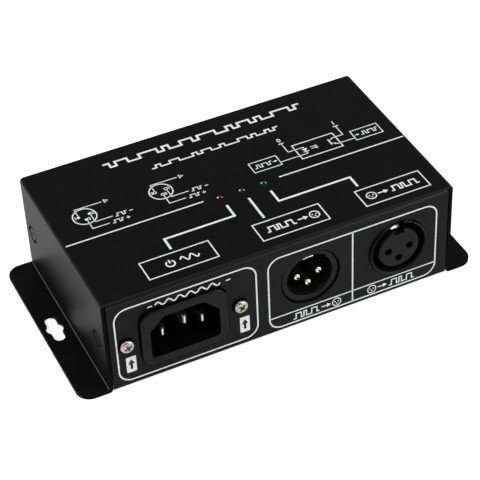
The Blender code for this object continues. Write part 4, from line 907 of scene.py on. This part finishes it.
def power_sign(ink, centre, radius, width):
    """An open ring with a bar in its gap."""
    ink.line(arc(centre, radius, start=125, end=415, steps=32), width)
    ink.line([(centre[0], centre[1] + radius * share) for share in POWER_BAR], width)


def wave(start, length, turns, height, level, steps=16):
    """Points of a sine wave."""
    points = []
    for step in range(turns * steps + 1):
        share = step / (turns * steps)
        points.append((start + length * share, level + height * math.sin(2 * math.pi * turns * share)))
    return points


def data_sign(ink, left, level, height, incoming, width):
    """A pulse train, an arrow and a socket sign; the signal goes into the socket or comes out of it."""
    cell = height * DATA_CELL
    swing = height / 2 * DATA_SWING
    head = height * DATA_HEAD
    socket = (height / 2 * DATA_SOCKET, width * DATA_SOCKET_LINE)
    if incoming:
        tail, point, centre = (left + len(DATA_BITS) * cell + height * share for share in DATA_IN)
        ink.pulses(DATA_BITS, left, cell, level - swing, level + swing, width)
        ink.arrow((tail, level), (point, level), width, head)
        socket_sign(ink, (centre, level), *socket)
    else:
        centre, tail, point, start = (left + height * share for share in DATA_OUT)
        socket_sign(ink, (centre, level), *socket)
        ink.arrow((tail, level), (point, level), width, head)
        ink.pulses(DATA_BITS, start, cell, level - swing, level + swing, width)


def print_rules():
    ink = Print("print_top_rules", "top")
    for left, right, y in RULES:
        ink.line([(left, y), (right, y)], MEDIUM)
    ink.done()


def print_lamp_labels():
    """A line from each lamp to its label box, and the sign in the box."""
    ink = Print("print_lamp_leads", "top")
    for lamp_x, lead_x in zip(LAMP_XS, LABEL_LEADS):
        points = [(lamp_x, LAMP_LINES_START)]
        if lead_x:
            points += [(lamp_x, LAMP_LINES_LEVEL), (lead_x, LAMP_LINES_LEVEL), (lead_x, LAMP_LINES_END)]
        else:
            points.append((lamp_x, LAMP_LINES_END))
        ink.line(points, THICK)
    ink.done()
    ink = Print("print_lamp_labels", "top")
    for low, high in LABEL_BOXES:
        ink.line(box_outline(low, high), THIN, closed=True)
    power, signal_in, signal_out = ((low[1] + high[1]) / 2 for low, high in LABEL_BOXES)
    power_sign(ink, centre=(-35.6, power - 0.3), radius=1.45, width=MEDIUM)
    ink.line(wave(start=-32.0, length=6.4, turns=2, height=1.1, level=power), MEDIUM)
    data_sign(ink, left=-1.7, level=signal_in, height=2.9, incoming=True, width=MEDIUM)
    data_sign(ink, left=35.2, level=signal_out, height=2.9, incoming=False, width=MEDIUM)
    ink.done()


def plus_sign(ink, centre, size, width):
    ink.line([(centre[0] - size / 2, centre[1]), (centre[0] + size / 2, centre[1])], width)
    ink.line([(centre[0], centre[1] - size / 2), (centre[0], centre[1] + size / 2)], width)


def earth_sign(ink, left, level, size, width):
    """Three bars that get shorter, lying on their side at a line's end."""
    for step, share in enumerate(EARTH_BARS):
        u = left + step * size * EARTH_BAR_PITCH
        ink.line([(u, level - size * share / 2), (u, level + size * share / 2)], width)


def print_pin_plans():
    """Each socket's contacts with their numbers, and a line from each to its sign."""
    for number, (x, y, is_pin) in enumerate(PIN_PLANS, 1):
        ink = Print(f"print_pin_plan_{number}", "top")
        ink.ring((x, y), PLAN_RADIUS, THIN)
        for u, v in PLAN_CONTACTS:
            if is_pin:
                ink.dot((x + u, y + v), radius=0.6)
            else:
                ink.ring((x + u, y + v), radius=0.55, width=0.3, steps=20)
        for digit, (u, v) in zip("123" if is_pin else "213", PLAN_CONTACTS):
            shift = -PLAN_DIGIT_SHIFT if u < 0 else PLAN_DIGIT_SHIFT
            ink.digit(digit, (x + u + shift, y + v), height=1.35)
        for lead in PIN_LEADS:
            ink.line([(x + u, y + v) for u, v in lead], FINE_LINE)
        earth_sign(ink, x + PLAN_EARTH[0], y + PLAN_EARTH[1], size=1.9, width=FINE_LINE)
        for place in (PLAN_MINUS, PLAN_PLUS):
            u, v = x + place[0], y + place[1]
            ink.pulses("01101", start=u, cell=0.85, low=v - 0.65, high=v + 0.65, width=FINE_LINE)
            if place is PLAN_PLUS:
                plus_sign(ink, (u + PLUS_SHIFT, v), size=1.3, width=FINE_LINE)
            else:
                ink.line([(u + along, v) for along in MINUS_SPAN], FINE_LINE)
        ink.done()


def print_pulses():
    for name, (bits, (start, end), levels, width) in PULSES.items():
        ink = Print(name, "top")
        ink.pulses(bits, start, (end - start) / len(bits), *levels, width)
        ink.done()


def print_isolation_drawing():
    """Two circuits kept apart by light, each with a small box for its signal."""
    ink = Print("print_isolation_drawing", "top")
    ink.line(box_outline((25.7, 0.1), (41.2, 8.3)), THIN, closed=True)
    for low, high in (((8.2, 0.8), (18.4, 6.2)), ((46.9, 0.7), (57.1, 6.1))):
        ink.line(box_outline(low, high), FINE_LINE, closed=True)
    # supply bars of the two sides, with their numbers
    for bar_x, bar_y, digit in ((23.1, 11.2, "0"), (44.1, 11.2, "1")):
        ink.line([(bar_x - 1.0, bar_y), (bar_x + 1.0, bar_y)], THIN)
        ink.digit(digit, (bar_x, bar_y + 2.0), height=1.9)
    # the lamp's circuit, then the light detector's
    ink.line([(23.1, 11.1), (23.1, 5.8), (28.8, 5.8), (28.8, 4.8)], FINE_LINE)
    ink.line([(28.8, 3.3), (28.8, 2.1), (18.4, 2.1)], FINE_LINE)
    ink.area([(27.7, 4.9), (28.8, 3.5), (29.9, 4.9)])
    ink.line([(27.7, 3.3), (29.9, 3.3)], FINE_LINE)
    for v in (4.9, 3.9):
        ink.arrow((31.0, v), (33.6, v - 0.3), width=0.26, head=0.9)
    ink.line([(44.1, 11.1), (44.1, 5.8), (40.0, 5.8), (38.2, 4.7)], FINE_LINE)
    ink.line([(38.2, 5.7), (38.2, 2.5)], MEDIUM)
    ink.arrow((38.2, 3.6), (40.2, 2.2), width=0.3, head=0.9)
    ink.line([(40.0, 2.1), (46.9, 2.1)], FINE_LINE)
    # the signal into the first box and out of the second
    ink.pulses("0101101", start=9.3, cell=0.95, low=2.7, high=4.3, width=FINE_LINE)
    ink.arrow((16.1, 3.5), (17.8, 3.5), width=0.3, head=0.9)
    ink.arrow((47.5, 3.4), (49.2, 3.4), width=0.3, head=0.9)
    ink.pulses("0101101", start=49.7, cell=0.95, low=2.6, high=4.2, width=FINE_LINE)
    ink.done()


# On the front, each frame's low corner, high corner and corner radius
POWER_FRAME = ((-59.2, 2.7), (-9.8, 33.2), 4.6)
SOCKET_FRAME = ((-5.5, 2.3), (57.1, 32.5), 4.4)
SOCKET_DIVIDER = 25.4
SOCKET_LABEL_LEVEL = 7.0
MARK_HALF = (1.75, 3.3)
MARK_CORNER = 0.45
MARK_PLACES = [(-54.8, 9.3), (-14.5, 9.2)]
POWER_LABEL_LEVEL = 30.7


def print_front():
    ink = Print("print_power_frame", "front")
    ink.line(rounded_box(*POWER_FRAME), MEDIUM, closed=True)
    ink.line(wave(start=-45.0, length=22.6, turns=6, height=0.75, level=POWER_LABEL_LEVEL), MEDIUM)
    for u in (-47.6, -20.4):
        ink.line([(u, POWER_LABEL_LEVEL), (u + 1.6, POWER_LABEL_LEVEL)], THIN)
    ink.done()
    ink = Print("print_socket_frame", "front")
    (left, bottom), (right, top), _ = SOCKET_FRAME
    ink.line(rounded_box(*SOCKET_FRAME), MEDIUM, closed=True)
    ink.line([(SOCKET_DIVIDER, bottom), (SOCKET_DIVIDER, top)], MEDIUM)
    ink.line([(left, SOCKET_LABEL_LEVEL), (right, SOCKET_LABEL_LEVEL)], THIN)
    ink.done()
    ink = Print("print_socket_labels", "front")
    data_sign(ink, left=3.2, level=4.6, height=2.7, incoming=True, width=THIN)
    data_sign(ink, left=31.4, level=4.6, height=2.7, incoming=False, width=THIN)
    ink.done()
    for number, (u, v) in enumerate(MARK_PLACES, 1):
        ink = Print(f"print_screw_mark_{number}", "front")
        low, high = (u - MARK_HALF[0], v - MARK_HALF[1]), (u + MARK_HALF[0], v + MARK_HALF[1])
        ink.area(rounded_box(low, high, MARK_CORNER, steps=4))
        ink.done()
        ink = Print(f"print_screw_arrow_{number}", "front", "ink_black", ARROW_HEIGHT)
        ink.arrow((u, v - 2.0), (u, v + 2.2), width=0.9, head=2.0)
        ink.done()


# The case and the moulded parts


def build_surfaces():
    roof = TOP - SHEET
    cover = soften("cover", "case_paint", COVER_EDGE, parted=roof)
    # painted shade on the ends of the walls and ears below the roof, as a dark seam at front and back
    recolour(cover, finish("painted_shade_black"), lambda centre, normal: abs(normal.y) > FACING and centre.z < roof)
    base = soften("base", "case_paint", BASE_EDGE, rounded=PANEL_EDGE)
    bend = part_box("base")[1].z - PANEL_EDGE
    steep, level = LEANING
    recolour(base, finish("paint_edge"), lambda centre, normal: steep < normal.z < level and centre.z > bend)
    inlet = soften("inlet_body", "plastic_black", MOULDED_EDGE)
    # painted shade on every face of the inlet but its rim's front: a black band round the rim and a black
    # cavity
    recolour(inlet, finish("painted_shade_black"), lambda centre, normal: normal.y > -FACING or centre.y > FRONT)
    for node in ("data_input_housing", "data_input_carrier", "data_output_housing", "data_output_carrier"):
        soften(node, "plastic_black", MOULDED_EDGE)
    for name in ("line", "neutral", "earth"):
        soften(f"inlet_blade_{name}", "steel_blade", METAL_EDGE)
    build_latch()
    add_bend_highlights()


def add_bend_highlights():
    """A painted highlight: the paler line where each side wall turns out into its ear."""
    low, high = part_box("cover")
    for name, side in (("left", -1), ("right", 1)):
        wall_x = side * CASE_HALF
        outline = [(wall_x, EAR_TOP), (wall_x + side * BEND_HIGHLIGHT, EAR_TOP), (wall_x, EAR_TOP + BEND_HIGHLIGHT)]
        shape = stack([(outline, low.y + COVER_EDGE), (outline, high.y - COVER_EDGE)], "y")
        add_piece(f"cover_bend_highlight_{name}", shape, finish("painted_bend_highlight"))


def build_latch():
    """The leaf that a plug lifts: its nose slopes down to a lip that leans back, so that the lip shines; all
    but a band of the lip's front is painted in shade.
    """
    low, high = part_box("data_output_latch")
    hinge = Vector((0.0, high.y - LATCH_ROOT_RADIUS, high.z - LATCH_ROOT_RADIUS))
    half = LATCH_THICKNESS / 2
    tip, tip_low = low.y - hinge.y, low.z - hinge.z
    lip_top, lip_high = tip + LATCH_LIP_LEAN, tip_low + LATCH_LIP
    knee = tip + LATCH_NOSE
    meet = math.degrees(math.asin(half / LATCH_ROOT_RADIUS))
    outline = [(knee, half), (lip_top, lip_high)]
    for share in sorted(LATCH_SHINE, reverse=True):
        outline.append((tip + share * LATCH_LIP_LEAN, tip_low + share * LATCH_LIP))
    outline += [(tip, tip_low), (tip + LATCH_THICKNESS, tip_low)]
    outline += [(lip_top + LATCH_THICKNESS, lip_high - half), (knee, -half)]
    outline += arc((0.0, 0.0), LATCH_ROOT_RADIUS, 180 + meet, 540 - meet, steps=16)
    shape = stack([(outline, low.x), (outline, high.x)], "x", shift=hinge)
    edge = METAL_EDGE / 2
    latch = stand_in("data_output_latch", shape, finish("steel_spring"), "latch", edge)
    bright_low, bright_high = (low.z + share * LATCH_LIP for share in LATCH_SHINE)
    # all of the latch but a band of the lip's front is painted in shade
    recolour(latch, finish("latch_painted_shade"),
             lambda centre, normal: normal.y > -FACING or not bright_low < centre.z < bright_high)


# What stays as the solids have it, by finish
KEPT = {
    "steel_bright": [
        "inlet_nut_left", "inlet_nut_right", "earth_ring_terminal", "earth_stud", "earth_nut",
        "board_standoff_1", "board_standoff_2", "board_standoff_3", "board_standoff_4",
    ],
    "board": ["main_board"],
    "nylon": ["power_lamp_spacer", "input_lamp_spacer", "output_lamp_spacer"],
    "terminal_green": ["mains_terminal_block"],
    "sleeve_blue": ["supply_capacitor_1", "supply_capacitor_2"],
    "moulding_black": [
        "fuse_holder", "ac_dc_converter", "isolated_dc_converter", "voltage_regulator",
        "input_transceiver", "output_transceiver", "optocoupler_1", "optocoupler_2",
    ],
    "wire_brown": ["line_wire"],
    "wire_blue": ["neutral_wire"],
    "wire_green": ["earth_wire"],
}


def dress(node, material):
    """Gives a CAD node another material."""
    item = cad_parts[node]
    if not item.material_slots:
        item.data.materials.append(material)
    for slot in item.material_slots:
        slot.material = material


def dress_kept():
    for name, nodes in KEPT.items():
        for node in nodes:
            dress(node, finish(name))
    dress("fuse_link", glass_finish("fuse_glass"))


# Camera, floor and light

FLOOR_LEVEL = -0.02 * MM
FLOOR_HALF = 3.0
FLOOR_GLOW = 0.66
WALL_LIGHT = 1.0
CEILING_LIGHT = 0.05
CEILING_STARTS = (0.18, 0.52)
WHITE = (1.0, 1.0, 1.0, 1.0)


def add_camera():
    azimuth, elevation = math.radians(CAMERA_AZIMUTH), math.radians(CAMERA_ELEVATION)
    tilt = Matrix.Rotation(math.pi / 2 - elevation, 4, "X")
    roll = Matrix.Rotation(-math.radians(CAMERA_ROLL), 4, "Z")
    camera = add_object("camera", bpy.data.cameras.new("camera"))
    camera.data.lens = CAMERA_LENS
    camera.data.clip_start = 0.01
    camera.data.clip_end = 20.0
    camera.matrix_world = Matrix.Translation(CAMERA_PLACE) @ Matrix.Rotation(azimuth, 4, "Z") @ tilt @ roll
    bpy.context.scene.camera = camera


def seen_directly(tree):
    """1 for camera, glossy and transmission rays, and 0 for the rest."""
    path = add_node(tree, "ShaderNodeLightPath")
    total = path.outputs["Is Camera Ray"]
    for name in ("Is Glossy Ray", "Is Transmission Ray"):
        most = add_node(tree, "ShaderNodeMath", operation="MAXIMUM")
        tree.links.new(total, most.inputs[0])
        tree.links.new(path.outputs[name], most.inputs[1])
        total = most.outputs["Value"]
    return total


def floor_finish():
    """Diffuse grey, with a glow that only the camera and mirrors see."""
    material = bpy.data.materials.new("floor_white")
    material.use_nodes = True
    tree = material.node_tree
    tree.nodes.clear()
    share = add_node(tree, "ShaderNodeMath", operation="MULTIPLY")
    share.inputs[1].default_value = FLOOR_GLOW
    tree.links.new(seen_directly(tree), share.inputs[0])
    surface = add_node(tree, "ShaderNodeBsdfDiffuse", Color=(0.64, 0.64, 0.64, 1.0))
    glow = add_node(tree, "ShaderNodeEmission", Color=WHITE, Strength=share.outputs["Value"])
    both = add_node(tree, "ShaderNodeAddShader")
    tree.links.new(surface.outputs["BSDF"], both.inputs[0])
    tree.links.new(glow.outputs["Emission"], both.inputs[1])
    add_node(tree, "ShaderNodeOutputMaterial", Surface=both.outputs["Shader"])
    return material


def add_floor():
    """A pale floor that looks white and keeps the object's shadow."""
    shape = bmesh.new()
    outline = box_outline((-FLOOR_HALF, -FLOOR_HALF), (FLOOR_HALF, FLOOR_HALF))
    shape.faces.new([shape.verts.new((x, y, FLOOR_LEVEL)) for x, y in outline])
    mesh = bpy.data.meshes.new("floor")
    shape.to_mesh(mesh)
    shape.free()
    mesh.materials.append(floor_finish())
    add_object("floor", mesh)


def add_world():
    """A pale room, white up to eye level and dim overhead."""
    world = bpy.data.worlds.new("studio")
    world.use_nodes = True
    tree = world.node_tree
    place = add_node(tree, "ShaderNodeTexCoord").outputs["Generated"]
    upwards = add_node(tree, "ShaderNodeSeparateXYZ", Vector=place).outputs["Z"]
    room = spread(tree, upwards, *CEILING_STARTS, WALL_LIGHT, CEILING_LIGHT)
    fill(tree, tree.nodes["Background"], Color=WHITE, Strength=room)
    bpy.context.scene.world = world


# Place, size and power of each soft light; all face the middle of the case
LIGHTS = {
    "left": ((-0.95, 0.10, 0.80), 0.90, 10.5),
    "right": ((0.78, -0.70, 0.62), 0.90, 13.2),
    "overhead": ((0.0, -0.3, 1.40), 0.80, 7.0),
}
AIM = Vector((0.0, 0.0, 0.018))


def add_lights():
    for name, (place, size, power) in LIGHTS.items():
        light = bpy.data.lights.new(name, "AREA")
        light.shape = "SQUARE"
        light.size = size
        light.energy = power
        item = add_object(name, light)
        item.location = place
        item.rotation_mode = "QUATERNION"
        item.rotation_quaternion = (AIM - Vector(place)).to_track_quat("-Z", "Y")


def main():
    add_camera()
    add_floor()
    add_world()
    add_lights()
    bpy.context.scene.view_settings.view_transform = "Standard"
    build_surfaces()
    build_screws()
    build_contacts()
    build_earth_strip()
    build_lamps()
    dress_kept()
    print_rules()
    print_lamp_labels()
    print_pin_plans()
    print_pulses()
    print_isolation_drawing()
    print_front()


main()
